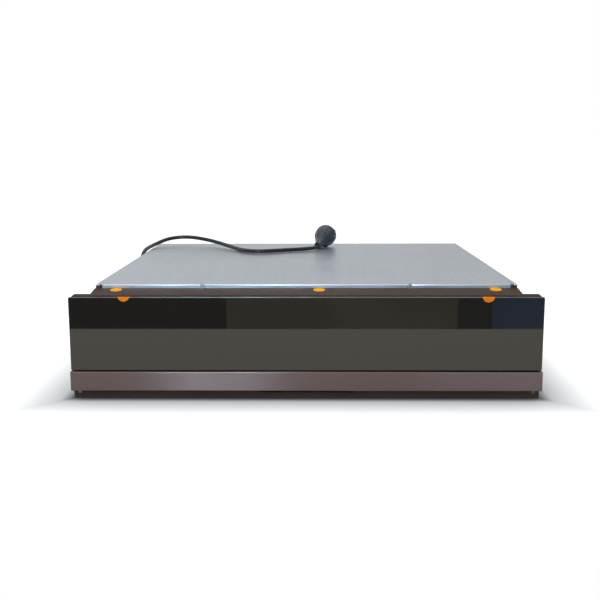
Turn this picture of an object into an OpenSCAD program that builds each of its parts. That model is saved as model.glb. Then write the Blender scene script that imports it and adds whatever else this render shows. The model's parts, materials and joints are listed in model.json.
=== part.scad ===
// Built-in warming drawer, 14 cm high, with a telescopic drawer behind a glass front.
// X runs to the right seen from the front, Y runs to the rear and Z runs up.
// The origin is the bottom centre of the object's box, leaving out the mains cord.

/* [Overall] */
// Width of the drawer front and of the mounting frame
front_w = 594; // [580:1:620]
// Height from the standing surface to the top of the cover
total_h = 142; // [140:1:160]
// Depth from the trim strip to the screw heads behind the cover
total_d = 545; // [535:1:600]
// Width of the sheet metal case
case_w = 546; // [530:1:556]
// Thickness of the case sheet
sheet_t = 1.2; // [0.8:0.1:1.5]
// Outer radius of the cover's bends
bend_r = 1.8; // [1:0.1:2]

/* [Drawer front] */
// Height of the drawer front's lower edge
front_z = 13; // [10:0.5:16]
// How far the top of the glass stays under the top of the cover
front_drop = 9.8; // [9:0.2:16]
// Thickness of the glass
glass_t = 4; // [3:0.5:6]
// Height of the metal strip under the glass
strip_h = 25; // [18:0.5:34]
// How far the strip stands in front of the glass
strip_proud = 5; // [3:0.5:8]
// Wall of the strip
strip_t = 1.5; // [1:0.1:2]
// Joint between the strip and the glass
strip_joint = 0.6; // [0.3:0.1:1.5]
// Depth of the carrier pan behind the glass
pan_d = 3.5; // [3:0.5:5]
// Sheet of the carrier pan
pan_t = 1.2; // [0.8:0.1:1.5]
// How far the carrier pan stays inside the outline of the front
pan_inset = 2.5; // [1:0.5:6]
// Gap between the closed drawer front and the mounting frame
front_gap = 3.2; // [2.8:0.1:5]

/* [Mounting frame] */
// Thickness of the frame sheet
frame_t = 1.5; // [1:0.1:2]
// How far the frame's front face stays under the top of the cover
frame_drop = 9; // [8:0.5:11]
// Height of the rail under the frame's opening
frame_low_rail = 16; // [14.5:0.5:17]
// Height of the rail over the frame's opening
frame_top_rail = 9; // [6:0.5:10]
// Chamfer of the frame's upper corners
frame_chamfer = 3; // [1:0.5:5]
// Chamfer of the frame's lower corners
foot_chamfer = 1.5; // [1:0.5:3]
// Depth of the frame's returns beside and under the opening
frame_return = 12; // [8:1:15]
// Distance from the frame's face back to the cover's front fold
cap_d = 32.8; // [26:0.2:40]
// Height of the cover's front fold
fold_h = 4.8; // [4.4:0.1:6]
// Distance of the mounting holes from the frame's side edges
hole_edge = 7.5; // [6:0.5:10]
// Height of the lower mounting holes
hole_low_z = 8; // [7:0.5:10]
// How far the upper mounting holes stay under the frame's top edge
hole_high_drop = 10; // [8:1:20]
// Radius of the mounting holes
hole_r = 2.65; // [2:0.05:3]
// Width of the air slot in the lower rail
slot_w = 120; // [80:5:160]
// Height of the air slot
slot_h = 5; // [4.4:0.2:5.4]
// Height of the air slot's lower edge
slot_z = 7.5; // [6:0.5:8]

/* [Drawer tray] */
// How far the tray's rim stays under the top of the cover
tray_drop = 38; // [36:1:46]
// Height of the tray's underside
tray_z = 28; // [27:0.5:32]
// Wall of the tray
tray_t = 1.2; // [0.8:0.1:1.5]
// Radius of the tray's upright corners
tray_r = 14; // [6:1:24]
// Width of the tray's rim
rim_w = 8; // [5:0.5:8]
// Distance from the carrier pan back to the tray
nose_d = 45; // [40:1:55]
// Thickness of the anti-slip mat
mat_t = 1.5; // [1:0.5:3]
// Gap between the mat and the tray's walls
mat_gap = 6; // [3:1:12]

/* [Runners] */
// Width of a telescopic runner across its three members
runner_w = 12.7; // [12:0.1:13.5]
// Height of a runner's outer member
runner_h = 45; // [42:1:50]
// Gap between a runner's rear end and the air baffle
runner_end_gap = 6.3; // [4:0.1:20]
// Sheet of the runner members
runner_t = 1.2; // [1:0.1:1.3]
// Height of the runners' centre line
runner_z = 60; // [54:1:64]
// Radius of the runner balls
ball_r = 1.7; // [1.4:0.1:1.9]
// Running clearance between a ball and its races
ball_gap = 0.3; // [0.2:0.05:0.4]
// Length of a ball cage
cage_l = 200; // [160:10:220]
// Balls in one cage
cage_balls = 8; // [5:1:10]

/* [Controls] */
// Centre of the thermostat knob from the middle of the drawer
knob_x = 185; // [150:5:200]
// Radius of the knob
knob_r = 15; // [11:0.5:16]
// Height of the knob above the control panel
knob_h = 10.5; // [8:0.5:11]
// Height of the control panel's top over the tray's rim
panel_rise = 5; // [4:0.5:6]
// Height of the control panel's skirt
panel_skirt = 12; // [8:1:16]
// Wall of the control panel
panel_t = 2; // [1.5:0.1:2.5]
// Centre of the rocker switch from the middle of the drawer
switch_x = 125; // [100:5:135]
// Length of the rocker
rocker_l = 17; // [14:0.5:20]
// Centre of the pilot lamp from the middle of the drawer
lamp_x = 92; // [60:2:95]
// Radius of the pilot lamp's lens
lamp_r = 3; // [2:0.5:4]

/* [Heater and fan] */
// Centre of the fan from the middle of the case
fan_x = 60; // [50:2:80]
// Height of the fan's centre
fan_z = 66; // [62:1:72]
// Radius of the impeller
impeller_r = 36; // [28:1:38]
// Width of the impeller
impeller_w = 20; // [14:1:22]
// Blades of the impeller
blades = 20; // [12:1:28]
// Radius of the fan's air intake
intake_r = 27; // [20:1:28]
// Radius of the fan shaft
shaft_r = 2; // [1.5:0.1:2.5]
// Depth of the fan and heater housing
duct_d = 30; // [28:1:32]
// Radius of the heater tube
heater_r = 3.3; // [2.5:0.1:4]
// Length of the heater's straight runs
heater_l = 140; // [100:5:150]
// Distance between the heater's runs
heater_pitch = 18; // [14:1:19]
// Gap between the tray's rim and the air baffle
baffle_gap = 3; // [2.8:0.1:5]
// Depth of the chamber from the air baffle's face to the rear panel
chamber_d = 52.3; // [52:0.1:60]

/* [Push latch] */
// Radius of the latch plunger
plunger_r = 3; // [2:0.25:3.25]
// Gap between the plunger's tip and the strike of the closed drawer
plunger_gap = 2.5; // [2.3:0.1:4]
// Height of the plunger
plunger_z = 22; // [21.5:0.5:22.5]
// Distance from the tray's rear wall forward to the strike
strike_back = 55; // [50:5:80]

/* [Mains cord] */
// Radius of the mains cord
cord_r = 3.25; // [3:0.05:3.5]
// Middle radius of the stored coil's turns
coil_r = 35.3; // [34:0.1:38]
// Largest radius of the plug
plug_r = 18.7; // [17:0.1:20]
// Radius of the plug's collar
collar_r = 6.7; // [6:0.1:8]
// Distance from the collar's end to the plug's widest ring
plug_l = 46; // [40:1:50]
// Radius of the contact pins
pin_r = 2.4; // [2:0.1:2.4]
// Length of the contact pins
pin_l = 19; // [17:0.5:20]
// Distance between the contact pins
pin_pitch = 19; // [17:0.5:20]

/* [Hidden] */

cover_head_t = 1.8;            // height of the cover's screw heads

// Clearances that more than one fit uses
fit_gap = 0.3;         // a pin in its bore, a part in its cut-out
screw_gap = 0.2;       // a screw or rivet in its hole
seat_gap = 0.3;        // something that lies on a surface
swing_gap = 0.5;       // beside a part that turns or tilts
eps = 1;               // how far a cutting shape runs past a face
fine = 64;             // facets of a round shape where it is drawn as a mesh

// Places along Y, from the front to the rear
front_y = -total_d / 2;
rear_y = total_d / 2 - cover_head_t;
glass_y = front_y + strip_proud;
pan_y = glass_y + glass_t;
pan_back_y = pan_y + pan_d;
frame_y = pan_back_y + front_gap;
frame_back_y = frame_y + frame_t;
fold_y = frame_y + cap_d;
rear_panel_y = rear_y - 2 * sheet_t;
baffle_y = rear_panel_y - chamber_d;
tray_front_y = pan_back_y + nose_d;
tray_back_y = baffle_y - baffle_gap - rim_w;
tray_d = tray_back_y - tray_front_y;
strike_y = tray_back_y - strike_back;
baffle_back_y = baffle_y + sheet_t;
duct_back_y = baffle_back_y + duct_d;
runner_y = frame_back_y + frame_return + 3;
runner_l = baffle_y - runner_end_gap - runner_y;

// Places along X, from the outside in
half_w = front_w / 2;
half_case = case_w / 2;
side_x = half_case - sheet_t;
side_in_x = side_x - sheet_t;
open_x = side_in_x - sheet_t;
tray_x = side_in_x - runner_w;
hole_x = half_w - hole_edge;

// Places along Z
cover_z = total_h - sheet_t;
fold_z = total_h - fold_h;
frame_h = total_h - frame_drop;
open_top_z = frame_h - frame_top_rail;
hole_high_z = frame_h - hole_high_drop;
glass_z = front_z + strip_h + strip_joint;
front_top_z = total_h - front_drop;
rim_z = total_h - tray_drop;
tray_h = rim_z - tray_z;
panel_z = rim_z + panel_rise;
tray_floor_z = tray_z + tray_t;

// ---------------------------------------------------------------- helpers

// A block between two places on each axis
module block(x, y, z)
    translate([x[0], y[0], z[0]]) cube([x[1] - x[0], y[1] - y[0], z[1] - z[0]]);

// The piece and its mirror image on the left
module both_sides() {
    children();
    mirror([1, 0, 0]) children();
}

// A flat rectangle with round corners, centred
module rounded_rect(w, d, r) {
    square([w - 2 * r, d], center = true);
    square([w, d - 2 * r], center = true);
    for (x = [-1, 1], y = [-1, 1])
        translate([x * (w / 2 - r), y * (d / 2 - r)]) circle(r = r, $fn = fine);
}

// A cylinder along Y that starts at the given place
module rod_y(x, y, z, r, l)
    translate([x, y, z]) rotate([-90, 0, 0]) cylinder(r = r, h = l, $fn = fine);

// A cylinder along X that starts at the given place
module rod_x(x, y, z, r, l)
    translate([x, y, z]) rotate([0, 90, 0]) cylinder(r = r, h = l, $fn = fine);

// A profile drawn in Y and Z, drawn out along X between two places
module along_x(x, points)
    translate([x[0], 0, 0]) rotate([90, 0, 90])
        linear_extrude(height = x[1] - x[0]) polygon(points);

// A row of upright slots through a sheet that faces along Y
module slots_y(x, y, z, count, pitch, w, h)
    for (i = [0:count - 1])
        block([x + i * pitch, x + i * pitch + w], [y - eps, y + sheet_t + eps], [z, z + h]);

// ---------------------------------------------------------------- case

pan_flange = 14;               // height of the base pan's upturned edges
pan_flange_gap = 0.6;          // between the pan's flange and the frame's lower return
rib_w = 10;
rib_h = 1.6;

module base_pan() color("silver") difference() {
    union() {
        block([-side_in_x, side_in_x], [frame_back_y, rear_panel_y], [0, sheet_t]);
        both_sides() block([open_x, side_in_x], [frame_back_y, rear_panel_y - frame_return], [0, pan_flange]);
        block([-open_x, open_x], [frame_back_y, frame_back_y + sheet_t], [0, pan_flange]);
        for (x = [-160, -80, 80, 160])
            block([x - rib_w / 2, x + rib_w / 2], [frame_back_y + 40, strike_y - 40], [0, sheet_t + rib_h]);
    }
    for (x = [-160, -80, 80, 160])
        block([x - rib_w / 2 + sheet_t, x + rib_w / 2 - sheet_t],
            [frame_back_y + 40 + sheet_t, strike_y - 40 - sheet_t], [-eps, rib_h]);
    air_slot();
}

module air_slot()
    block([-slot_w / 2, slot_w / 2], [frame_y - eps, frame_back_y + sheet_t + eps],
        [slot_z, slot_z + slot_h]);

rivet_rows = [30, runner_l / 2 - 25, runner_l - 70];   // places of the runner rivets along a runner
rivet_r = 2;
rivet_head_r = 4;
rivet_head_t = 0.8;

// Right-hand side wall, which carries a runner
module side_panel() color("silver") difference() {
    block([side_in_x, side_x], [frame_back_y, rear_panel_y], [0, cover_z]);
    for (y = rivet_rows)
        rod_x(side_in_x - eps, runner_y + y, runner_z, rivet_r + screw_gap, sheet_t + 2 * eps);
    cover_side_holes();
    frame_rivet_holes();
    // room for the frame's sloping cap
    block([side_in_x - eps, side_x + eps], [frame_back_y - eps, fold_y + 3 * sheet_t],
        [open_top_z, cover_z + eps]);
}

vent_pitch = 12;
vent_w = 5;
vent_h = 34;
gland_side = 34.4;             // from the inside of the left wall to the gland
gland_x = gland_side - open_x;
gland_z = 14;
gland_r = 7;

module rear_panel() color("silver") difference() {
    union() {
        block([-side_x, side_x], [rear_panel_y, rear_panel_y + sheet_t], [0, cover_z]);
        both_sides() block([open_x, side_in_x], [rear_panel_y - frame_return, rear_panel_y],
            [pan_flange + fit_gap, cover_z - pan_flange]);
    }
    slots_y(fan_x - 40, rear_panel_y, fan_z + 6, 8, vent_pitch, vent_w, vent_h);
    slots_y(fan_x - 40, rear_panel_y, fan_z - 44, 8, vent_pitch, vent_w, vent_h);
    slots_y(-180, rear_panel_y, fan_z - 14, 10, vent_pitch, vent_w, vent_h);
    rod_y(gland_x, rear_panel_y - eps, gland_z, gland_r + fit_gap, sheet_t + 2 * eps);
    cover_rear_holes();
}

cover_flange = 14;             // height of the cover's folds at the sides and rear
cover_screw_r = 1.8;
cover_screw_l = 4;
cover_head_r = 2.6;
front_screw_x = half_case - 139;
side_screw_end = [54, 40.7];    // from the front fold and from the rear wall to the outer screws
side_screw_y = [fold_y + side_screw_end[0],
    (fold_y + side_screw_end[0] + rear_y - side_screw_end[1]) / 2, rear_y - side_screw_end[1]];
rear_screw_x = [53 - half_case, 0, half_case - 53];
side_screw_z = total_h - cover_flange / 2 - 2;
front_screw_z = fold_z + fold_h / 2 - 0.2;
notch_x = 9.8;                 // how far the front fold stops short of the case's width
notch_w = 4.6;
notch_d = 4;

module top_cover() color("lightsteelblue") difference() {
    union() {
        block([-half_case, half_case], [fold_y, rear_y], [cover_z, total_h]);
        both_sides() block([side_x, half_case], [fold_y + notch_d, rear_y],
            [total_h - cover_flange, total_h]);
        block([-half_case + notch_x, half_case - notch_x], [fold_y, fold_y + sheet_t], [fold_z, total_h]);
        block([-half_case, half_case], [rear_y - sheet_t, rear_y], [total_h - cover_flange, total_h]);
    }
    both_sides() block([half_case - notch_x, half_case - notch_x + notch_w],
        [fold_y - eps, fold_y + notch_d], [cover_z - eps, total_h + eps]);
    front_screw_holes();
    cover_side_holes();
    cover_rear_holes();
    // the round outsides of the bends
    bend_cut(half_case + eps, -fold_y);
    bend_cut(half_case + eps, rear_y, 180);
    both_sides() bend_cut(total_d, half_case, 90);
}

// What a bend's round outside leaves of an edge that lies at the given reach from the middle, facing
// the front before it is turned
module bend_cut(half_l, reach, turn = 0)
    rotate(turn) difference() {
        block([-half_l, half_l], [-reach - eps, -reach + bend_r], [total_h - bend_r, total_h + eps]);
        rod_x(-half_l - eps, -reach + bend_r, total_h - bend_r, bend_r, 2 * half_l + 2 * eps);
    }

module front_screw_holes()
    for (x = [-front_screw_x, front_screw_x])
        rod_y(x, fold_y - eps, front_screw_z, cover_screw_r + screw_gap, cover_screw_l + 2 * eps);

module cover_side_holes()
    both_sides() for (y = side_screw_y)
        rod_x(side_in_x - eps, y, side_screw_z, cover_screw_r + screw_gap, 2 * sheet_t + 2 * eps);

module cover_rear_holes()
    for (x = rear_screw_x)
        rod_y(x, rear_panel_y - eps, side_screw_z, cover_screw_r + screw_gap, 2 * sheet_t + 2 * eps);

// A pan head screw along +Z with its head's seat at z = 0
module pan_screw(r, l, head_r, head_t) difference() {
    union() {
        translate([0, 0, -l]) cylinder(r = r, h = l + head_t / 2, $fn = 24);
        cylinder(r = head_r, h = head_t, $fn = 32);
    }
    for (a = [0, 90])
        rotate(a) translate([-head_r * 0.6, -0.35, head_t * 0.5]) cube([head_r * 1.2, 0.7, head_t]);
}

module cover_screw() pan_screw(cover_screw_r, cover_screw_l, cover_head_r, cover_head_t);

module cover_screws() color("gainsboro") {
    for (x = [-front_screw_x, front_screw_x])
        translate([x, fold_y, front_screw_z]) rotate([90, 0, 0]) cover_screw();
    both_sides() for (y = side_screw_y)
        translate([half_case, y, side_screw_z]) rotate([0, 90, 0]) cover_screw();
    for (x = rear_screw_x)
        translate([x, rear_y, side_screw_z]) rotate([-90, 0, 0]) cover_screw();
}

// ---------------------------------------------------------------- mounting frame

cap_x = half_case;             // half width of the sloping cap behind the frame's face
head_room = 0.6;               // round a screw head that stands in a cut-out

module frame_outline() polygon([
    [-half_w + foot_chamfer, 0], [half_w - foot_chamfer, 0],
    [half_w, foot_chamfer], [half_w, frame_h - frame_chamfer],
    [half_w - frame_chamfer, frame_h], [-half_w + frame_chamfer, frame_h],
    [-half_w, frame_h - frame_chamfer], [-half_w, foot_chamfer]]);

module front_frame() color("#4b3f3a") {
    pressed_frame();
    // tabs that close the corners between the cap and the cover
    both_sides() block([half_case - notch_x + notch_w + fit_gap, half_case - bend_r],
        [fold_y - fit_gap, fold_y + sheet_t], [fold_z - frame_t, cover_z - seat_gap]);
}

module pressed_frame() difference() {
    union() {
        translate([0, frame_back_y, 0]) rotate([90, 0, 0])
            linear_extrude(height = frame_t) frame_outline();
        // returns beside, under and over the opening
        both_sides() block([open_x, side_in_x], [frame_back_y - frame_t / 2, frame_back_y + frame_return],
            [pan_flange + pan_flange_gap, open_top_z]);
        block([-open_x, open_x], [frame_back_y - frame_t / 2, frame_back_y + frame_return],
            [pan_flange + pan_flange_gap, frame_low_rail]);
        block([-side_in_x, side_in_x], [frame_back_y - frame_t / 2, frame_back_y + frame_return],
            [open_top_z, open_top_z + sheet_t]);
        // top return at full width
        block([-half_w + frame_chamfer, half_w - frame_chamfer], [frame_y, frame_y + frame_return],
            [frame_h - frame_t, frame_h]);
        // sloping cap with the upstand that carries the cover's front fold
        along_x([-cap_x, cap_x], [
            [frame_y, frame_h - frame_t], [frame_y, frame_h], [fold_y, fold_z], [fold_y + sheet_t, fold_z],
            [fold_y + sheet_t, cover_z], [fold_y + 2 * sheet_t, cover_z],
                [fold_y + 2 * sheet_t, fold_z - frame_t],
            [fold_y, fold_z - frame_t]]);
    }
    block([-open_x, open_x], [frame_y - eps, frame_back_y + eps], [frame_low_rail, open_top_z]);
    for (x = [-hole_x, hole_x], z = [hole_low_z, hole_high_z])
        rod_y(x, frame_y - eps, z, hole_r, frame_t + 2 * eps);
    air_slot();
    front_screw_holes();
    frame_rivet_holes();
    for (x = [-front_screw_x, front_screw_x])
        rod_y(x, fold_y - cover_head_t - head_room, front_screw_z, cover_head_r + head_room,
            cover_head_t + head_room);
    // the upstand stays inside the cover's side folds
    both_sides() block([side_in_x, half_w], [fold_y - fit_gap, fold_y + 3 * sheet_t], [0, total_h]);
}

frame_rivet_z = [45, 95];

module frame_rivet_holes()
    both_sides() for (z = frame_rivet_z)
        rod_x(open_x - eps, frame_back_y + frame_return / 2, z, rivet_r + screw_gap, 2 * sheet_t + 2 * eps);

// A flat rivet along +Z with its head's seat at z = 0
module rivet(l) {
    cylinder(r = rivet_head_r, h = rivet_head_t, $fn = 32);
    translate([0, 0, -l]) cylinder(r = rivet_r, h = l + rivet_head_t / 2, $fn = 24);
}

module frame_rivets() color("gainsboro")
    both_sides() for (z = frame_rivet_z)
        translate([side_x, frame_back_y + frame_return / 2, z]) rotate([0, 90, 0]) rivet(2 * sheet_t);

// ---------------------------------------------------------------- runners

race_gap = 2 * ball_r + 2 * ball_gap;
outer_in = runner_h / 2 - runner_t;
middle_out = outer_in - race_gap;
middle_in = middle_out - runner_t;
inner_out = middle_in - race_gap;
inner_in = inner_out - runner_t;
member_gap = 1.3;              // between the webs of two members
lip = 1;                       // height of the lips that keep the balls in
outer_web_x = side_in_x - runner_t;
middle_web_x = outer_web_x - member_gap - runner_t;
inner_web_x = tray_x + runner_t;
outer_open_x = tray_x + 1;
middle_open_x = inner_web_x + member_gap;
outer_ball_x = (middle_open_x + outer_web_x) / 2;
inner_ball_x = (inner_web_x + middle_web_x) / 2 - 0.2;

// Outer member on the right-hand wall, open towards the drawer
module runner_outer() color("lightgray") difference() {
    union() {
        block([outer_web_x, side_in_x], [runner_y, runner_y + runner_l],
            [runner_z - runner_h / 2, runner_z + runner_h / 2]);
        for (s = [0, 1]) translate([0, 0, runner_z]) mirror([0, 0, s]) {
            block([outer_open_x, side_in_x], [runner_y, runner_y + runner_l], [outer_in, runner_h / 2]);
            block([outer_open_x, outer_open_x + runner_t], [runner_y, runner_y + runner_l],
                [outer_in - lip, runner_h / 2]);
        }
    }
    for (y = rivet_rows)
        rod_x(outer_web_x - eps, runner_y + y, runner_z, rivet_r + screw_gap, runner_t + 2 * eps);
}

// Middle member, which rides in the outer one on balls
module runner_middle() color("gainsboro") {
    block([middle_web_x, middle_web_x + runner_t], [runner_y, runner_y + runner_l],
        [runner_z - middle_out, runner_z + middle_out]);
    for (s = [0, 1]) translate([0, 0, runner_z]) mirror([0, 0, s]) {
        block([middle_open_x, middle_web_x + runner_t], [runner_y, runner_y + runner_l],
            [middle_in, middle_out]);
        block([middle_open_x, middle_open_x + 0.8], [runner_y, runner_y + runner_l],
            [middle_in, middle_out + lip]);
    }
}

// Inner member, riveted to the tray's wall
module runner_inner() color("lightgray") difference() {
    union() {
        block([tray_x, inner_web_x], [runner_y, tray_back_y], [runner_z - inner_out, runner_z + inner_out]);
        for (s = [0, 1]) translate([0, 0, runner_z]) mirror([0, 0, s])
            block([tray_x, middle_web_x - member_gap], [runner_y, tray_back_y], [inner_in, inner_out]);
    }
    for (y = tray_rivet_rows)
        rod_x(tray_x - eps, tray_front_y + y, runner_z, rivet_r + screw_gap, runner_t + 2 * eps);
}

module runner_rivets() color("gainsboro")
    both_sides() for (y = rivet_rows)
        translate([outer_web_x, runner_y + y, runner_z]) rotate([0, -90, 0]) rivet(runner_t + sheet_t);

cage_t = 0.8;
cage_w = 6.6;
cage_y = runner_y + 110;       // where the cages stand when the drawer is shut
ball_pitch = cage_l / cage_balls;

// A pair of cage strips over and under the centre line, with a hole for each ball
module cage_strips(x, z) difference() {
    for (s = [-1, 1])
        block([x - cage_w / 2, x + cage_w / 2], [cage_y, cage_y + cage_l],
            [runner_z + s * z - cage_t / 2, runner_z + s * z + cage_t / 2]);
    for (i = [0:cage_balls - 1])
        translate([x, cage_y + (i + 0.5) * ball_pitch, runner_z - z - cage_t])
            cylinder(r = ball_r + fit_gap, h = 2 * (z + cage_t), $fn = 32);
}

module cage_ball_rows(x, z)
    for (i = [0:cage_balls - 1], s = [-1, 1])
        translate([x, cage_y + (i + 0.5) * ball_pitch, runner_z + s * z]) sphere(r = ball_r, $fn = 24);

outer_ball_z = outer_in - race_gap / 2;
inner_ball_z = middle_in - race_gap / 2;

module outer_ball_cages() color("peru") both_sides() cage_strips(outer_ball_x, outer_ball_z);
module inner_ball_cages() color("peru") both_sides() cage_strips(inner_ball_x, inner_ball_z);
module outer_balls() color("lightgray") both_sides() cage_ball_rows(outer_ball_x, outer_ball_z);
module inner_balls() color("lightgray") both_sides() cage_ball_rows(inner_ball_x, inner_ball_z);

// ---------------------------------------------------------------- heater and fan

baffle_x = open_x - 1.4;
baffle_foot = 10;
outlet_w = 6;
outlet_h = 40;
outlet_pitch = 16;
outlets = 11;
outlet_x = -178;
duct_x = [outlet_x - 10, outlet_x + outlets * outlet_pitch + 4];
duct_half_h = 34;
duct_wall = 1.2;
volute_r = impeller_r + 14;

module air_baffle() color("silver") difference() {
    union() {
        block([-baffle_x, baffle_x], [baffle_y, baffle_back_y], [sheet_t, cover_z]);
        block([-baffle_x, baffle_x], [baffle_y, baffle_back_y + baffle_foot], [sheet_t, 2 * sheet_t]);
        both_sides() block([baffle_x - sheet_t, side_in_x], [baffle_y, baffle_back_y],
            [pan_flange + fit_gap, cover_z]);
    }
    rod_y(fan_x, baffle_y - eps, fan_z, intake_r, sheet_t + 2 * eps);
    slots_y(outlet_x, baffle_y, fan_z - outlet_h / 2, outlets, outlet_pitch, outlet_w, outlet_h);
    for (p = baffle_screw_places())
        rod_y(p[0], baffle_y - eps, p[1], rivet_r + screw_gap, sheet_t + 2 * eps);
    for (x = stop_x)
        rod_y(x, baffle_y - eps, stop_z, stop_stem_r + fit_gap, sheet_t + 2 * eps);
}

flange_w = 8;                  // of the housing and the duct, where they meet the baffle

function baffle_screw_places() = [
    [fan_x + volute_r + flange_w / 2, fan_z + 14], [fan_x + volute_r + flange_w / 2, fan_z - 14],
    [fan_x, fan_z + volute_r + flange_w / 2], [fan_x, fan_z - volute_r - flange_w / 2],
    [duct_x[0] - flange_w / 2, fan_z + 20], [duct_x[0] - flange_w / 2, fan_z - 20]];

baffle_screw_t = 1.6;

module baffle_screws() color("gainsboro")
    for (p = baffle_screw_places())
        translate([p[0], baffle_back_y + duct_wall, p[1]]) rotate([-90, 0, 0])
            pan_screw(rivet_r, duct_wall + sheet_t, rivet_head_r - 0.6, baffle_screw_t);

stop_side = 37.9;              // from the ends of the tray's rear wall to the buttons
stop_x = [stop_side - tray_x, tray_x - stop_side];
stop_z = rim_z - tray_t / 2;
stop_r = 5;
stop_stem_r = 2.5;
stop_t = 0.5;

// Rubber buttons on the baffle, which the tray's rim meets
module rear_stops() color("#202020")
    for (x = stop_x) {
        rod_y(x, baffle_y - stop_t, stop_z, stop_r, stop_t);
        rod_y(x, baffle_y - stop_t / 2, stop_z, stop_stem_r, sheet_t + stop_t / 2 + 1);
        rod_y(x, baffle_back_y, stop_z, stop_stem_r + 1, 1);
    }

shaft_y = baffle_back_y + 3;
impeller_y = baffle_back_y + 4.5;
outlet_throat_h = 2 * duct_half_h - 8;

// Round housing with a throat into the duct
module fan_housing() color("lightgray") difference() {
    union() {
        rod_y(fan_x, baffle_back_y, fan_z, volute_r, duct_d);
        rod_y(fan_x, baffle_back_y, fan_z, volute_r + flange_w, duct_wall);
        block([duct_x[1], fan_x], [baffle_back_y, duct_back_y],
            [fan_z - outlet_throat_h / 2, fan_z + outlet_throat_h / 2]);
    }
    rod_y(fan_x, baffle_back_y - eps, fan_z, volute_r - duct_wall, duct_d + eps - duct_wall);
    block([duct_x[1] - eps, fan_x], [baffle_back_y - eps, duct_back_y - duct_wall],
        [fan_z - outlet_throat_h / 2 + duct_wall, fan_z + outlet_throat_h / 2 - duct_wall]);
    rod_y(fan_x, baffle_back_y, fan_z, 3 * shaft_r, duct_d + eps);
    for (p = baffle_screw_places())
        rod_y(p[0], baffle_back_y - eps, p[1], rivet_r + screw_gap, duct_wall + 2 * eps);
    block([duct_x[0] - volute_r, duct_x[1]], [baffle_back_y - eps, duct_back_y + eps], [0, cover_z]);
}

// Channel behind the outlets, which holds the heater
module heater_duct() color("silver") difference() {
    union() {
        block(duct_x, [baffle_back_y, duct_back_y], [fan_z - duct_half_h, fan_z + duct_half_h]);
        block([duct_x[0] - flange_w, duct_x[1]], [baffle_back_y, baffle_back_y + duct_wall],
            [fan_z - duct_half_h, fan_z + duct_half_h]);
    }
    block([duct_x[0] + duct_wall, duct_x[1] + eps], [baffle_back_y - eps, duct_back_y - duct_wall],
        [fan_z - duct_half_h + duct_wall, fan_z + duct_half_h - duct_wall]);
    for (p = baffle_screw_places())
        rod_y(p[0], baffle_back_y - eps, p[1], rivet_r + screw_gap, duct_wall + 2 * eps);
    for (z = [-1.5, 1.5])
        rod_x(duct_x[0] - eps, heater_y, fan_z + z * heater_pitch, heater_r + fit_gap, duct_wall + 2 * eps);
}

heater_y = baffle_back_y + duct_d / 2;
heater_x0 = duct_x[0] - 8;
heater_x1 = duct_x[0] + heater_l;
heater_back_x = duct_x[0] + 22;
terminal_r = 1.5;
terminal_l = 8;

module half_bend(x, z, turn)
    translate([x, heater_y, z]) rotate([90, 0, 0]) rotate(turn)
        rotate_extrude(angle = 180, $fn = fine) translate([heater_pitch / 2, 0])
            circle(r = heater_r, $fn = 32);

// Tubular heater bent twice over, with both cold ends on the left
module heater_element() color("dimgray") {
    for (s = [-1, 1]) {
        rod_x(heater_x0, heater_y, fan_z + 1.5 * s * heater_pitch, heater_r, heater_x1 - heater_x0);
        rod_x(heater_back_x, heater_y, fan_z + 0.5 * s * heater_pitch, heater_r, heater_x1 - heater_back_x);
        half_bend(heater_x1, fan_z + s * heater_pitch, -90);
        rod_x(heater_x0 - terminal_l, heater_y, fan_z + 1.5 * s * heater_pitch, terminal_r, terminal_l + 1);
    }
    half_bend(heater_back_x, fan_z, 90);
}

heater_mid_x = duct_x[0] + 10 + heater_l / 2;
clip_step = heater_l * 3 / 14;
clip_x = [heater_mid_x - clip_step, heater_mid_x + clip_step];
clip_w = 5;
clip_t = 1.2;

// Sheet metal combs that carry the heater's runs off the duct's back
module heater_clips() color("silver")
    for (x = clip_x) difference() {
        block([x - clip_w / 2, x + clip_w / 2], [heater_y - heater_r - 2, duct_back_y - duct_wall],
            [fan_z - duct_half_h + duct_wall, fan_z + duct_half_h - duct_wall]);
        for (s = [-1.5, -0.5, 0.5, 1.5])
            rod_x(x - clip_w, heater_y, fan_z + s * heater_pitch, heater_r + fit_gap, 2 * clip_w);
        block([x - clip_w / 2 + clip_t, x + clip_w], [0, duct_back_y - duct_wall - clip_t], [0, cover_z]);
    }

cutout_x = heater_mid_x;
cutout_r = 8;
cutout_h = 6;

module thermal_cutout() color("black") {
    rod_y(cutout_x, duct_back_y, fan_z, cutout_r, cutout_h);
    rod_y(cutout_x, duct_back_y, fan_z, cutout_r + 3, 1);
    for (s = [-1, 1])
        block([cutout_x + s * 4 - 1, cutout_x + s * 4 + 1],
            [duct_back_y + cutout_h - 0.5, duct_back_y + cutout_h + 5], [fan_z - 3, fan_z + 3]);
}

bracket_t = 1.5;
bracket_half = 40;
bracket_w = 22;
post_l = 3.5;                  // between the bracket and the stack
post_r = 3;
stack_y = duct_back_y + bracket_t + post_l;
stack_t = 11;
stack_w = 56;
leg_w = 12;
core_h = 32;
limb_h = 10;                   // height of the limb that carries the winding
limb_z = fan_z - 34;
rotor_r = 12;
rotor_gap = 0.4;
coil_w = 26;
coil_over = 4.5;               // how far the winding stands out round its limb

module motor_bracket() color("silver") difference() {
    union() {
        block([fan_x - bracket_half, fan_x + bracket_half], [duct_back_y, duct_back_y + bracket_t],
            [fan_z - bracket_w / 2, fan_z + bracket_w / 2]);
        for (s = [-1, 1])
            rod_y(fan_x + s * (stack_w / 2 - leg_w / 2), duct_back_y, fan_z, post_r, bracket_t + post_l);
    }
    rod_y(fan_x, duct_back_y - eps, fan_z, shaft_r + fit_gap, bracket_t + 2 * eps);
}

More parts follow.
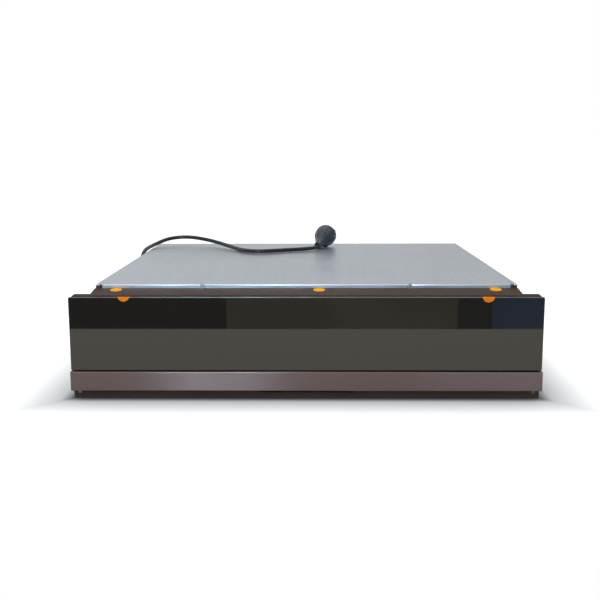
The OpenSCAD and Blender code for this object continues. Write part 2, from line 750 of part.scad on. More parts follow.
// Laminated stack of the shaded-pole motor, with its rotor bore and coil window
module motor_laminations() color("gray") difference() {
    union() {
        block([fan_x - stack_w / 2, fan_x + stack_w / 2], [stack_y, stack_y + stack_t],
            [fan_z - core_h / 2, fan_z + core_h / 2]);
        both_legs();
        block([fan_x - stack_w / 2, fan_x + stack_w / 2], [stack_y, stack_y + stack_t],
            [limb_z - limb_h / 2, limb_z + limb_h / 2]);
    }
    rod_y(fan_x, stack_y - eps, fan_z, rotor_r + rotor_gap, stack_t + 2 * eps);
}

module both_legs()
    for (x = [fan_x - stack_w / 2, fan_x + stack_w / 2 - leg_w])
        block([x, x + leg_w], [stack_y, stack_y + stack_t], [limb_z, fan_z]);

// Bobbin and winding round the stack's lower limb
module motor_coil() color("#9c5a22") difference() {
    block([fan_x - coil_w / 2, fan_x + coil_w / 2], [stack_y - coil_over, stack_y + stack_t + coil_over],
        [limb_z - limb_h / 2 - coil_over, limb_z + limb_h / 2 + coil_over]);
    block([fan_x - coil_w / 2 - eps, fan_x + coil_w / 2 + eps],
        [stack_y - fit_gap, stack_y + stack_t + fit_gap],
        [limb_z - limb_h / 2 - fit_gap, limb_z + limb_h / 2 + fit_gap]);
}

shaft_end_y = stack_y + stack_t + 3;

module fan_shaft() color("silver") rod_y(fan_x, shaft_y, fan_z, shaft_r, shaft_end_y - shaft_y);

module motor_rotor() color("dimgray") difference() {
    rod_y(fan_x, stack_y + fit_gap, fan_z, rotor_r, stack_t - 2 * fit_gap);
    rod_y(fan_x, stack_y - eps, fan_z, shaft_r, stack_t + 2 * eps);
}

blade_t = 1;
hub_r = 7;
blade_lean = 35;

module fan_impeller() color("lightgray") difference() {
    union() {
        rod_y(fan_x, impeller_y + impeller_w - 1.5, fan_z, impeller_r, 1.5);
        rod_y(fan_x, impeller_y + 6, fan_z, hub_r, impeller_w - 6);
        difference() {
            rod_y(fan_x, impeller_y, fan_z, impeller_r, 1.5);
            rod_y(fan_x, impeller_y - eps, fan_z, impeller_r - 8, 1.5 + 2 * eps);
        }
        for (i = [0:blades - 1])
            translate([fan_x, impeller_y + impeller_w / 2, fan_z]) rotate([0, i * 360 / blades, 0])
                translate([impeller_r - 4.5, 0, 0]) rotate([0, blade_lean, 0])
                    cube([7, impeller_w - 1, blade_t], center = true);
    }
    rod_y(fan_x, impeller_y - eps, fan_z, shaft_r, impeller_w + 2 * eps);
}

block_l = 46;
block_d = 16;
block_h = 18;
block_side = 14.4;             // from the inside of the left wall to the block
block_x = block_side + block_l / 2 - open_x;
block_y = rear_panel_y - 26;

module terminal_block() color("ivory") difference() {
    union() {
        block([block_x - block_l / 2, block_x + block_l / 2],
            [block_y - block_d / 2, block_y + block_d / 2], [30, 30 + block_h]);
        // foot that stands on the base pan
        block([block_x - 6, block_x + 6], [block_y - block_d / 2, block_y - block_d / 2 + 4],
            [sheet_t, 30 + 1]);
        block([block_x - 14, block_x + 14], [block_y - block_d / 2, block_y + block_d / 2],
            [sheet_t, sheet_t + 3]);
    }
    for (i = [-1, 0, 1]) {
        translate([block_x + i * 14, block_y, 30 + block_h - 6]) cylinder(r = 2.5, h = 10, $fn = 32);
        rod_y(block_x + i * 14, block_y - block_d, 30 + 6, 2.2, 2 * block_d);
    }
}

// ---------------------------------------------------------------- push latch

latch_x = 0;
latch_w = 22;
latch_y = strike_y + plunger_gap + 4;
latch_l = 50;
latch_top = tray_z - 1.3;
plunger_l = 34;
collar_t = 2;
plunger_collar_r = plunger_r + 1.1;
latch_bore_r = plunger_collar_r + fit_gap;
latch_wall = 2;
tip_y = strike_y + plunger_gap;
collar_y = latch_y + latch_wall + fit_gap;

module latch_body() color("#303030") difference() {
    block([latch_x - latch_w / 2, latch_x + latch_w / 2], [latch_y, latch_y + latch_l], [sheet_t, latch_top]);
    rod_y(latch_x, latch_y + latch_wall, plunger_z, latch_bore_r, latch_l - 2 * latch_wall);
    rod_y(latch_x, latch_y - eps, plunger_z, plunger_r + fit_gap, latch_l + 2 * eps);
}

module latch_plunger() color("whitesmoke") {
    rod_y(latch_x, tip_y, plunger_z, plunger_r, plunger_l);
    rod_y(latch_x, collar_y, plunger_z, plunger_collar_r, collar_t);
}

// Plain sleeve in the room of the latch's return spring
module latch_spring() color("silver") difference() {
    rod_y(latch_x, collar_y + collar_t, plunger_z, plunger_collar_r,
        latch_l - 2 * latch_wall - collar_t - 2 * fit_gap);
    rod_y(latch_x, latch_y, plunger_z, plunger_r + fit_gap, latch_l + plunger_l);
}

strike_w = 26;
strike_t = 2;
strike_z = frame_low_rail + 1.5;

module strike_plate() color("silver") {
    block([latch_x - strike_w / 2, latch_x + strike_w / 2], [strike_y - strike_t, strike_y],
        [strike_z, tray_z]);
    block([latch_x - strike_w / 2, latch_x + strike_w / 2], [strike_y - 18, strike_y],
        [tray_z - strike_t, tray_z]);
}

// ---------------------------------------------------------------- drawer

tray_rivet_rows = [20, tray_d / 2 - 10, tray_d - 40];
tray_slots = 11;

module tray_blank(w, d, r, z, h)
    translate([0, tray_front_y + tray_d / 2, z]) linear_extrude(height = h) rounded_rect(w, d, r);

module drawer_tray() color("silver") difference() {
    union() {
        tray_blank(2 * tray_x, tray_d, tray_r, tray_z, tray_h);
        tray_blank(2 * tray_x + 2 * rim_w, tray_d + 2 * rim_w, tray_r + rim_w, rim_z - tray_t, tray_t);
    }
    tray_blank(2 * (tray_x - tray_t), tray_d - 2 * tray_t, tray_r - tray_t, tray_floor_z, tray_h + eps);
    slots_y(outlet_x, tray_back_y - tray_t, fan_z - outlet_h / 2, tray_slots, outlet_pitch,
        outlet_w, outlet_h - 10);
    both_sides() for (y = tray_rivet_rows)
        rod_x(tray_x - tray_t - eps, tray_front_y + y, runner_z, rivet_r + screw_gap, tray_t + 2 * eps);
    for (p = bracket_screw_places())
        rod_y(p[0], tray_front_y - eps, p[1], front_screw_r + screw_gap, tray_t + 2 * eps);
}

module tray_rivets() color("gainsboro")
    both_sides() for (y = tray_rivet_rows)
        translate([tray_x - tray_t, tray_front_y + y, runner_z]) rotate([0, -90, 0]) rivet(tray_t + runner_t);

mat_r = tray_r - tray_t - 1;

module anti_slip_mat() color("#2b2b2d")
    tray_blank(2 * (tray_x - tray_t - mat_gap), tray_d - 2 * (tray_t + mat_gap), mat_r, tray_floor_z, mat_t);

// Sheet metal pan that carries the glass and the strip
module front_carrier() color("#2a2422") difference() {
    block([-half_w + pan_inset, half_w - pan_inset], [pan_y, pan_back_y],
        [front_z + pan_inset, front_top_z - pan_inset]);
    difference() {
        block([-half_w + pan_inset + pan_t, half_w - pan_inset - pan_t], [pan_y + pan_t, pan_back_y + eps],
            [front_z + pan_inset + pan_t, front_top_z - pan_inset - pan_t]);
        for (p = front_screw_places())
            rod_y(p[0], pan_y, p[1], boss_r, pan_d);
    }
    for (p = front_screw_places())
        rod_y(p[0], pan_y + pan_t, p[1], front_screw_r + screw_gap, pan_d);
}

glass_chamfer = 1;

module glass_panel() color("#22211d") translate([0, pan_y, 0]) rotate([90, 0, 0])
    linear_extrude(height = glass_t) polygon([
        [-half_w + glass_chamfer, glass_z], [half_w - glass_chamfer, glass_z],
        [half_w, glass_z + glass_chamfer], [half_w, front_top_z - glass_chamfer],
        [half_w - glass_chamfer, front_top_z], [-half_w + glass_chamfer, front_top_z],
        [-half_w, front_top_z - glass_chamfer], [-half_w, glass_z + glass_chamfer]]);

strip_bevel = 0.8;

// Folded metal profile, open to the rear, closed at its ends
module trim_strip() color("#6f625d") difference() {
    along_x([-half_w, half_w], [
        [front_y + strip_bevel, front_z], [pan_y, front_z], [pan_y, front_z + strip_h],
        [front_y + strip_bevel, front_z + strip_h], [front_y, front_z + strip_h - strip_bevel],
        [front_y, front_z + strip_bevel]]);
    block([-half_w + strip_t, half_w - strip_t], [front_y + strip_t, pan_y + eps],
        [front_z + strip_t, front_z + strip_h - strip_t]);
}

bracket_x = tray_x - 2;        // outside of the front brackets
bracket_sheet = 2;
bracket_leaf = 24;             // width of a bracket's flanges
bracket_z = [frame_low_rail + 9, rim_z + panel_rise - panel_skirt];
front_screw_r = 2;
front_head_r = 3.6;
front_head_t = 2.2;
boss_r = 5;

function front_screw_places() = [for (s = [-1, 1], z = [bracket_z[0] + 14, bracket_z[1] - 14])
    [s * (bracket_x - bracket_leaf + 7), z]];
function bracket_screw_places() = [for (s = [-1, 1], z = [bracket_z[0] + 20, bracket_z[1] - 20])
    [s * (bracket_x - bracket_leaf + 7), z]];

// Right-hand C-shaped bracket between the tray and the drawer front
module front_bracket() color("lightgray") difference() {
    union() {
        block([bracket_x - bracket_sheet, bracket_x], [pan_back_y, tray_front_y], bracket_z);
        block([bracket_x - bracket_leaf, bracket_x], [pan_back_y, pan_back_y + bracket_sheet], bracket_z);
        block([bracket_x - bracket_leaf, bracket_x], [tray_front_y - bracket_sheet, tray_front_y], bracket_z);
    }
    for (p = front_screw_places())
        rod_y(p[0], pan_back_y - eps, p[1], front_screw_r + screw_gap, bracket_sheet + 2 * eps);
    for (p = bracket_screw_places())
        rod_y(p[0], tray_front_y - bracket_sheet - eps, p[1], front_screw_r + screw_gap,
            bracket_sheet + 2 * eps);
}

module front_screws() color("gainsboro") {
    for (p = front_screw_places())
        translate([p[0], pan_back_y + bracket_sheet, p[1]]) rotate([-90, 0, 0])
            pan_screw(front_screw_r, bracket_sheet + pan_d - pan_t, front_head_r, front_head_t);
    for (p = bracket_screw_places())
        translate([p[0], tray_front_y - bracket_sheet, p[1]]) rotate([90, 0, 0])
            pan_screw(front_screw_r, bracket_sheet + tray_t, front_head_r, front_head_t);
}

// ---------------------------------------------------------------- controls

panel_x = tray_x - 2;
panel_y = [pan_back_y, tray_front_y - rim_w];
panel_mid_y = (panel_y[0] + panel_y[1]) / 2;
spindle_r = 3;
bush_r = 4.5;
switch_w = 13;
switch_hole_l = rocker_l + 4;
rocker_w = switch_w - 3;

module control_panel() color("#1d1d1f") difference() {
    block([-panel_x, panel_x], panel_y, [panel_z - panel_skirt, panel_z]);
    block([-panel_x + panel_t, panel_x - panel_t], [panel_y[0] + panel_t, panel_y[1] - panel_t],
        [panel_z - panel_skirt - eps, panel_z - panel_t]);
    translate([knob_x, panel_mid_y, panel_z - panel_t - eps])
        cylinder(r = bush_r + fit_gap, h = panel_t + 2 * eps, $fn = fine);
    block([switch_x - switch_hole_l / 2 - fit_gap, switch_x + switch_hole_l / 2 + fit_gap],
        [panel_mid_y - switch_w / 2 - fit_gap, panel_mid_y + switch_w / 2 + fit_gap],
            [panel_z - panel_t - eps, panel_z + eps]);
    translate([lamp_x, panel_mid_y, panel_z - panel_t - eps])
        cylinder(r = lamp_r + fit_gap, h = panel_t + 2 * eps, $fn = fine);
}

thermostat_w = 28;
thermostat_h = 20;
under_panel_z = panel_z - panel_t;

module thermostat_body() color("ivory") difference() {
    union() {
        block([knob_x - thermostat_w / 2, knob_x + thermostat_w / 2],
            [panel_mid_y - thermostat_w / 2 + 1, panel_mid_y + thermostat_w / 2 - 1],
                [under_panel_z - thermostat_h, under_panel_z]);
        translate([knob_x, panel_mid_y, under_panel_z]) cylinder(r = bush_r, h = panel_t, $fn = fine);
    }
    translate([knob_x, panel_mid_y, under_panel_z - thermostat_h + 2])
        cylinder(r = spindle_r + fit_gap, h = 60, $fn = fine);
}

spindle_top = panel_z + knob_h - 2;

module thermostat_spindle() color("silver")
    translate([knob_x, panel_mid_y, under_panel_z - thermostat_h + 2 + fit_gap])
        cylinder(r = spindle_r, h = spindle_top - (under_panel_z - thermostat_h + 2 + fit_gap), $fn = fine);

knob_ribs = 24;
knob_lift = 0.5;               // between the knob and the panel

module thermostat_knob() color("#3a3a3d") translate([knob_x, panel_mid_y, panel_z + knob_lift]) difference() {
    union() {
        cylinder(r = knob_r, h = 2, $fn = fine);
        cylinder(r = knob_r - 2, h = knob_h - knob_lift, $fn = fine);
        for (i = [0:knob_ribs - 1])
            rotate(i * 360 / knob_ribs) translate([knob_r - 2, 0, 0])
                cylinder(r = 0.7, h = knob_h - knob_lift - 1, $fn = 16);
    }
    translate([0, 0, -eps]) cylinder(r = spindle_r, h = spindle_top - panel_z - knob_lift + eps, $fn = fine);
    // pointer groove, towards the front
    translate([-0.6, -knob_r - 1, knob_h - knob_lift - 1]) cube([1.2, 12, 2]);
}

switch_depth = 18;
switch_rim = 1;
pivot_r = 1;
pivot_z = panel_z + 0.5;
rocker_tilt = 6;

module switch_body() color("black") difference() {
    union() {
        block([switch_x - switch_hole_l / 2, switch_x + switch_hole_l / 2],
            [panel_mid_y - switch_w / 2, panel_mid_y + switch_w / 2],
            [panel_z - switch_depth, panel_z]);
        block([switch_x - switch_hole_l / 2 - 2, switch_x + switch_hole_l / 2 + 2],
            [panel_mid_y - switch_w / 2 - 2, panel_mid_y + switch_w / 2 + 2],
                [panel_z, panel_z + switch_rim + 1]);
        for (s = [-1, 1])
            block([switch_x + s * 6 - 2.4, switch_x + s * 6 + 2.4], [panel_mid_y - 0.4, panel_mid_y + 0.4],
                [panel_z - switch_depth - 7, panel_z - switch_depth + 1]);
    }
    block([switch_x - rocker_l / 2 - swing_gap, switch_x + rocker_l / 2 + swing_gap],
        [panel_mid_y - rocker_w / 2 - fit_gap, panel_mid_y + rocker_w / 2 + fit_gap],
            [panel_z - 5, panel_z + 10]);
    rod_y(switch_x, panel_mid_y - switch_w / 2, pivot_z, pivot_r + fit_gap, switch_w);
}

// Rocker, drawn tilted to its off side
module switch_rocker() color("#111111") translate([switch_x, 0, pivot_z]) rotate([0, -rocker_tilt, 0]) {
    block([-rocker_l / 2, rocker_l / 2], [panel_mid_y - rocker_w / 2, panel_mid_y + rocker_w / 2],
        [-2.6, 2.4]);
    rod_y(0, panel_mid_y - switch_w / 2 + fit_gap, 0, pivot_r, switch_w - 2 * fit_gap);
}

module pilot_lamp() color("darkorange") {
    translate([lamp_x, panel_mid_y, panel_z - 14]) cylinder(r = lamp_r, h = 14, $fn = fine);
    translate([lamp_x, panel_mid_y, panel_z]) cylinder(r = lamp_r + 1, h = 1, $fn = fine);
    translate([lamp_x, panel_mid_y, panel_z + 1]) intersection() {
        translate([0, 0, -lamp_r]) sphere(r = lamp_r * 1.4, $fn = fine);
        cylinder(r = lamp_r * 0.9, h = lamp_r, $fn = fine);
    }
}

// ---------------------------------------------------------------- mains cord

relief_l = 22;                 // of the strain relief behind the case
relief_end_y = rear_panel_y + sheet_t + relief_l;

module cord_gland() color("#151515") difference() {
    union() {
        rod_y(gland_x, rear_panel_y - 6, gland_z, gland_r, relief_l / 2 + 6);
        rod_y(gland_x, rear_panel_y - 3, gland_z, gland_r + 2, 3);
        rod_y(gland_x, rear_panel_y + sheet_t, gland_z, gland_r + 2, 3);
        translate([gland_x, rear_panel_y + sheet_t + 3, gland_z]) rotate([-90, 0, 0])
            cylinder(r1 = gland_r, r2 = cord_r + 1.2, h = relief_l - 3, $fn = fine);
    }
    for (i = [0:2])
        translate([gland_x, rear_panel_y + sheet_t + 8 + 4 * i, gland_z]) rotate([-90, 0, 0]) difference() {
            cylinder(r = gland_r + 1, h = 1.6, $fn = fine);
            translate([0, 0, -eps]) cylinder(r = cord_r + 1, h = 1.6 + 2 * eps, $fn = fine);
        }
}

// The plug lies on the cover on its collar and its widest ring
plug_x = 291 - half_case;      // on the cover, from its left and rear edges
plug_y = rear_y - 99.7;
plug_turn = 18;                // of the plug's axis from +Y towards +X
collar_l = 8;
plug_body_l = plug_l + 8;
plug_edge = 1.5;
// The plug's outline: distance along its axis from the collar's end, and radius
plug_outline = [[0, collar_r - 0.6], [0.6, collar_r], [collar_l, collar_r], [collar_l + 0.8, collar_r - 0.8],
    [collar_l + 6, collar_r + 0.4], [collar_l + 14, plug_r * 0.56], [collar_l + 22, plug_r * 0.8],
    [collar_l + 29, plug_r * 0.93], [collar_l + 34, plug_r * 0.985], [plug_l, plug_r],
    [plug_body_l - plug_edge, plug_r], [plug_body_l, plug_r - plug_edge]];
plug_tilt = atan(max([for (q = plug_outline) if (q[0] > collar_l + 1) (q[1] - collar_r) / q[0]]));
plug_end = [plug_x, plug_y, total_h + seat_gap + collar_r * cos(plug_tilt)];
plug_dir = [sin(plug_turn) * cos(plug_tilt), cos(plug_turn) * cos(plug_tilt), sin(plug_tilt)];

// The cord's points run from the gland to the coil and from the coil to the plug
coil_x = gland_x + 40;
coil_y = relief_end_y + 44.5;
coil_turns = 2.75;
coil_rings = 24;               // in each turn
coil_sides = 6;
turn_step = 7.3;               // between turns that lie side by side
layer_step = 7.3;              // between turns that lie on each other
cord_low_z = cord_r + seat_gap;
coil_in_r = coil_r - turn_step * coil_turns / 4;
coil_lead = 2 * cord_r;        // straight length at each end

function smooth(t) = let (u = max(0, min(1, t))) u * u * (3 - 2 * u);
function coil_point(t) = let (
    a = 180 - 360 * t,
    r = coil_in_r + turn_step * abs(t - coil_turns / 2),
    z = cord_low_z + layer_step * smooth((t - coil_turns / 2) / 0.5 + 0.5))
    [coil_x + r * cos(a), coil_y + r * sin(a), z];
coil_steps = coil_rings * coil_turns;
coil_start = coil_point(0) - [0, coil_lead, 0];
coil_end = coil_point(coil_turns) - [coil_lead, 0, 0];
coil_path = concat([coil_start], [for (i = [0:coil_steps]) coil_point(i / coil_rings)], [coil_end]);

gland_path = concat(
    [for (p = [[0, 0], [6, 0], [14, -2.8], [23, -7.6], [31, -10.2]])
        [gland_x, relief_end_y + p[0], gland_z + p[1]]],
    [coil_start]);

// Along the standing surface and up beside the case: from the case's left side, its rear and the surface
floor_run = [for (p = [
    [63, 25, 10.7], [53, 25, 7.7], [43, 25, 4.4], [18, 24.3, 3.6], [6, 19.8, 3.6], [-3, 10.3, 3.6],
    [-8, -3.7, 3.6], [-8, -110.7, 3.6], [-8, -128.7, 4.4], [-8, -142.7, 10.2],
    [-8, -152.7, 21], [-8, -156.7, 38]]) [p[0] - half_case, p[1] + rear_y, p[2]]];
// Over the cover to the plug: from the cover's left side, its rear and its top
cover_run = [for (p = [
    [-8, -156.7, -47], [-7.3, -152.7, -25], [-6, -144.7, -10.5], [-5, -132.7, -2], [-4, -112.7, 2.2],
    [-0.5, -85.7, 4.4], [6, -58.7, 6.8], [19, -30.7, 11], [33, -21.2, 13], [53, -19.2, 14],
    [77, -30.2, 12.8], [107, -54.7, 9.5], [133, -86.7, 5.9], [156, -122.7, 3.6], [170, -143.7, 3.6],
    [183, -153.2, 3.6], [199, -154.2, 3.6], [237, -136.7, 3.6], [275, -119.2, 3.9]])
    [p[0] - half_case, p[1] + rear_y, p[2] + total_h]];
plug_path = concat([coil_end], floor_run, cover_run, [plug_end - coil_lead * plug_dir, plug_end]);

function unit(v) = v / norm(v);
function tangent(p, i) = unit(p[min(i + 1, len(p) - 1)] - p[max(i - 1, 0)]);
function across(v, t) = unit(v - (v * t) * t);
function start_side(p) = let (t = tangent(p, 0)) across(abs(t[2]) < 0.9 ? [0, 0, 1] : [1, 0, 0], t);
function tube_sides(p) = [for (i = 0, s = start_side(p); i < len(p); i = i + 1,
    s = i < len(p) ? across(s, tangent(p, i)) : s) s];
function tube_points(p, r, n) = let (side = tube_sides(p)) [for (i = [0:len(p) - 1], k = [0:n - 1])
    let (t = tangent(p, i), a = side[i], b = cross(t, a))
        p[i] + r * (cos(360 * k / n) * a + sin(360 * k / n) * b)];
function tube_faces(rings, n) = concat(
    [for (k = [1:n - 2]) [0, k + 1, k]],
    [for (i = [0:rings - 2], k = [0:n - 1]) [i * n + k, i * n + (k + 1) % n, (i + 1) * n + k]],
    [for (i = [0:rings - 2], k = [0:n - 1])
        [i * n + (k + 1) % n, (i + 1) * n + (k + 1) % n, (i + 1) * n + k]],
    [for (k = [1:n - 2]) [(rings - 1) * n, (rings - 1) * n + k, (rings - 1) * n + k + 1]]);

module tube(p, r, n) polyhedron(tube_points(p, r, n), tube_faces(len(p), n));

function path_length(p, i = 0) = i >= len(p) - 1 ? 0 : norm(p[i + 1] - p[i]) + path_length(p, i + 1);
function to_segment(q, a, b) = let (t = max(0, min(1, (q - a) * (b - a) / ((b - a) * (b - a)))))
    norm(q - a - t * (b - a));
function self_gap(p, skip) =
    min([for (i = [0:len(p) - 1], j = [i + skip:1:len(p) - 2]) to_segment(p[i], p[j], p[j + 1])])
    - 2 * cord_r;

echo(coil_self_gap = self_gap(coil_path, coil_rings / 2));
echo(cord_length = path_length(gland_path) + path_length(coil_path) + path_length(plug_path));

cord_sides = 8;

module cord_run_gland() color("#151515") tube(gland_path, cord_r, cord_sides);
module cord_coil() color("#151515") tube(coil_path, cord_r, coil_sides);
module cord_run_plug() color("#151515") tube(plug_path, cord_r, cord_sides);

// Turns a piece that is drawn along +Z into the plug's place
module at_plug() translate(plug_end) rotate([0, 0, -plug_turn]) rotate([-90 + plug_tilt, 0, 0]) children();

module mains_plug() color("#17181b") at_plug() rotate_extrude($fn = fine)
    polygon(concat([[0, 0]], [for (q = plug_outline) [q[1], q[0]]], [[0, plug_body_l]]));

module plug_pins() color("silver") at_plug()
    for (s = [-1, 1]) translate([s * pin_pitch / 2, 0, plug_body_l]) {
        cylinder(r = pin_r, h = pin_l - 1.5, $fn = 32);
        translate([0, 0, pin_l - 1.5]) cylinder(r1 = pin_r, r2 = pin_r * 0.55, h = 1.5, $fn = 32);
    }

// ---------------------------------------------------------------- nodes

base_pan();
mirror([1, 0, 0]) side_panel();  // left_side_panel
side_panel();  // right_side_panel
rear_panel();
top_cover();
front_frame();
cover_screws();
frame_rivets();
air_baffle();
baffle_screws();
rear_stops();
mirror([1, 0, 0]) runner_outer();  // left_runner_outer
runner_outer();  // right_runner_outer
runner_rivets();
fan_housing();
heater_duct();
heater_element();
heater_clips();
thermal_cutout();
motor_bracket();
motor_laminations();
motor_coil();
fan_impeller();
fan_shaft();
motor_rotor();
terminal_block();
latch_body();
latch_spring();
latch_plunger();
mirror([1, 0, 0]) runner_middle();  // left_runner_middle
runner_middle();  // right_runner_middle
outer_ball_cages();
outer_balls();
inner_ball_cages();
inner_balls();
drawer_tray();
anti_slip_mat();
mirror([1, 0, 0]) runner_inner();  // left_runner_inner
runner_inner();  // right_runner_inner
tray_rivets();
front_carrier();
glass_panel();
trim_strip();
mirror([1, 0, 0]) front_bracket();  // left_front_bracket
front_bracket();  // right_front_bracket
front_screws();
strike_plate();
control_panel();
thermostat_body();
thermostat_spindle();
thermostat_knob();
switch_body();
switch_rocker();
pilot_lamp();
cord_gland();
cord_run_gland();
cord_coil();
cord_run_plug();
mains_plug();
plug_pins();
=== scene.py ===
import json
import math

import bmesh
import bpy
from mathutils import Matrix, Vector


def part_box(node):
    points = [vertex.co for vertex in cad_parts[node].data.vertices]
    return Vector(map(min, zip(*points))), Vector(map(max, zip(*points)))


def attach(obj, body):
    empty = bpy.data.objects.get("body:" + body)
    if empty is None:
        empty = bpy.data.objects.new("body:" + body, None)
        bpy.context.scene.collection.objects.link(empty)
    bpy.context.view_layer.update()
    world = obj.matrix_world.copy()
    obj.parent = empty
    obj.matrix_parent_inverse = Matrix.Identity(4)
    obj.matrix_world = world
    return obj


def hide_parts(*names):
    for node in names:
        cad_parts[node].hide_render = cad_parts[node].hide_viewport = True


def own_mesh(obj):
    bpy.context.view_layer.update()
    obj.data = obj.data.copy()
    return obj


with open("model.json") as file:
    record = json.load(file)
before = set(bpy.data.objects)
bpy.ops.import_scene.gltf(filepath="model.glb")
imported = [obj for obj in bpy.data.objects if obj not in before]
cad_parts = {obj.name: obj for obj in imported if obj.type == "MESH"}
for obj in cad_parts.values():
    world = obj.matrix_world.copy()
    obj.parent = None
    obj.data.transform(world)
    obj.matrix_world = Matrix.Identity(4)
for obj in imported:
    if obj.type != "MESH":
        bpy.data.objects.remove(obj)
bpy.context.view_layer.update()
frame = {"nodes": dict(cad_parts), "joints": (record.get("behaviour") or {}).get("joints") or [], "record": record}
nodes = frame["nodes"]
joints = {joint["name"]: joint for joint in frame["joints"]}
scene = bpy.context.scene
scene.view_settings.view_transform = "Standard"
MM = 0.001


def mm(*values):
    return Vector(values) * MM


def box_mm(node):
    """A CAD node's lowest and highest corners, in mm."""
    return [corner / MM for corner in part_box(node)]


# ---------------------------------------------------------------- camera
# Place in mm and angles in degrees, fitted to the photograph's edges with the part's sizes and the focal
# length, in pixels of the frame, held
FOCAL_PX, FRAME_PX, SENSOR = 882.0, 600.0, 36.0
CAMERA_AT = mm(7.70, -1348.53, 315.15)
CAMERA_PITCH, CAMERA_YAW, CAMERA_ROLL = 9.7734, -0.779, -0.1348


def make_camera():
    pitch, yaw, roll = (math.radians(a) for a in (CAMERA_PITCH, CAMERA_YAW, CAMERA_ROLL))
    ahead = Vector((math.sin(yaw) * math.cos(pitch), math.cos(yaw) * math.cos(pitch), -math.sin(pitch)))
    level = Vector((math.cos(yaw), -math.sin(yaw), 0))
    up = level.cross(ahead)
    right = level * math.cos(roll) + up * math.sin(roll)
    top = up * math.cos(roll) - level * math.sin(roll)
    camera = bpy.data.objects.new("camera", bpy.data.cameras.new("camera"))
    camera.data.sensor_width = SENSOR
    camera.data.lens = FOCAL_PX / FRAME_PX * SENSOR
    camera.data.clip_start, camera.data.clip_end = 0.01, 50
    camera.matrix_world = Matrix((
        (right.x, top.x, -ahead.x, CAMERA_AT.x),
        (right.y, top.y, -ahead.y, CAMERA_AT.y),
        (right.z, top.z, -ahead.z, CAMERA_AT.z),
        (0, 0, 0, 1)))
    scene.collection.objects.link(camera)
    scene.camera = camera
    return ahead, right, top


AHEAD, RIGHT, TOP = make_camera()


def pixel_ray(x, y):
    """Direction from the camera through a pixel of the 600 pixel frame."""
    half = FRAME_PX / 2
    return (AHEAD * FOCAL_PX + RIGHT * (x + 0.5 - half) - TOP * (y + 0.5 - half)).normalized()


# ---------------------------------------------------------------- mesh helpers
# A shape is a pair: its points and its faces.
def add_object(name, mesh, body, smooth_angle):
    """Shows a mesh as a piece that rides on a body."""
    thing = bpy.data.objects.new(name, mesh)
    scene.collection.objects.link(thing)
    if smooth_angle:
        mesh.polygons.foreach_set("use_smooth", [True] * len(mesh.polygons))
        mesh.set_sharp_from_angle(angle=math.radians(smooth_angle))
    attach(thing, body)
    return thing


def add_shape(name, shape, body, smooth_angle):
    """Makes a piece of a closed shape, with all its faces outward."""
    points, faces = shape
    mesh = bpy.data.meshes.new(name)
    mesh.from_pydata([tuple(p) for p in points], [], faces)
    mesh.validate()
    work = bmesh.new()
    work.from_mesh(mesh)
    bmesh.ops.recalc_face_normals(work, faces=work.faces)
    work.to_mesh(mesh)
    work.free()
    return add_object(name, mesh, body, smooth_angle)


def weigh(a, b, low, high, at):
    """The point between a and b that is placed as the number at is between low and high."""
    return a * ((high - at) / (high - low)) + b * ((at - low) / (high - low))


def smooth_path(points, steps):
    """A centripetal Catmull-Rom curve through the points, in steps for each span."""
    pts = [Vector(p) for p in points]
    pts = [2 * pts[0] - pts[1]] + pts + [2 * pts[-1] - pts[-2]]
    made = []
    for i in range(1, len(pts) - 2):
        span = pts[i - 1:i + 3]
        t = [0.0]
        for a, b in zip(span, span[1:]):
            t.append(t[-1] + max((b - a).length, 1e-9) ** 0.5)
        for k in range(steps):
            u = t[1] + (t[2] - t[1]) * k / steps
            level = span
            for gap in (1, 2, 3):
                level = [weigh(level[j], level[j + 1], t[j], t[j + gap], u) for j in range(len(level) - 1)]
            made.append(level[0])
    made.append(pts[-2])
    return made


def circle(at, side, other, radius, sides):
    """Points round at, from the direction side towards other."""
    turns = [2 * math.pi * k / sides for k in range(sides)]
    return [at + (side * math.cos(a) + other * math.sin(a)) * radius for a in turns]


def band(low, high):
    """Faces between two closed rows of point numbers, where a row of one number is a tip."""
    faces = []
    count = max(len(low), len(high))
    for k in range(count):
        n = (k + 1) % count
        if len(low) == 1:
            faces.append((low[0], high[n], high[k]))
        elif len(high) == 1:
            faces.append((low[k], low[n], high[0]))
        else:
            faces.append((low[k], low[n], high[n], high[k]))
    return faces


def closed_bands(rows):
    """Faces of a form along its rows of point numbers, closed at both ends."""
    faces = [face for low, high in zip(rows, rows[1:]) for face in band(low, high)]
    return faces + [tuple(row) for row in (rows[0], rows[-1]) if len(row) > 1]


def tube(points, radius, sides):
    """A closed tube along the points."""
    verts = []
    side = None
    for i, p in enumerate(points):
        along = (points[min(i + 1, len(points) - 1)] - points[max(i - 1, 0)]).normalized()
        if side is None:
            side = Vector((0, 0, 1)) if abs(along.z) < 0.9 else Vector((1, 0, 0))
        side = (side - along * side.dot(along)).normalized()
        verts += circle(p, side, along.cross(side), radius, sides)
    return verts, closed_bands([range(i * sides, (i + 1) * sides) for i in range(len(points))])


def lathe(outline, sides, at, axis):
    """A closed turned form; outline is (distance along the axis, radius) from end to end, in mm."""
    axis = Vector(axis).normalized()
    side = axis.orthogonal().normalized()
    other = axis.cross(side)
    verts, rows = [], []
    for s, r in outline:
        middle = at + axis * (s * MM)
        count = sides if r else 1
        rows.append(list(range(len(verts), len(verts) + count)))
        verts += circle(middle, side, other, r * MM, sides) if r else [middle]
    return verts, closed_bands(rows)


def prism(outline, low, high):
    """A closed prism over a convex outline of (x, y)."""
    n = len(outline)
    verts = [Vector((x, y, z)) for z in (low, high) for x, y in outline]
    return verts, [tuple(range(n)), tuple(range(n, 2 * n))] + band(range(n), range(n, 2 * n))


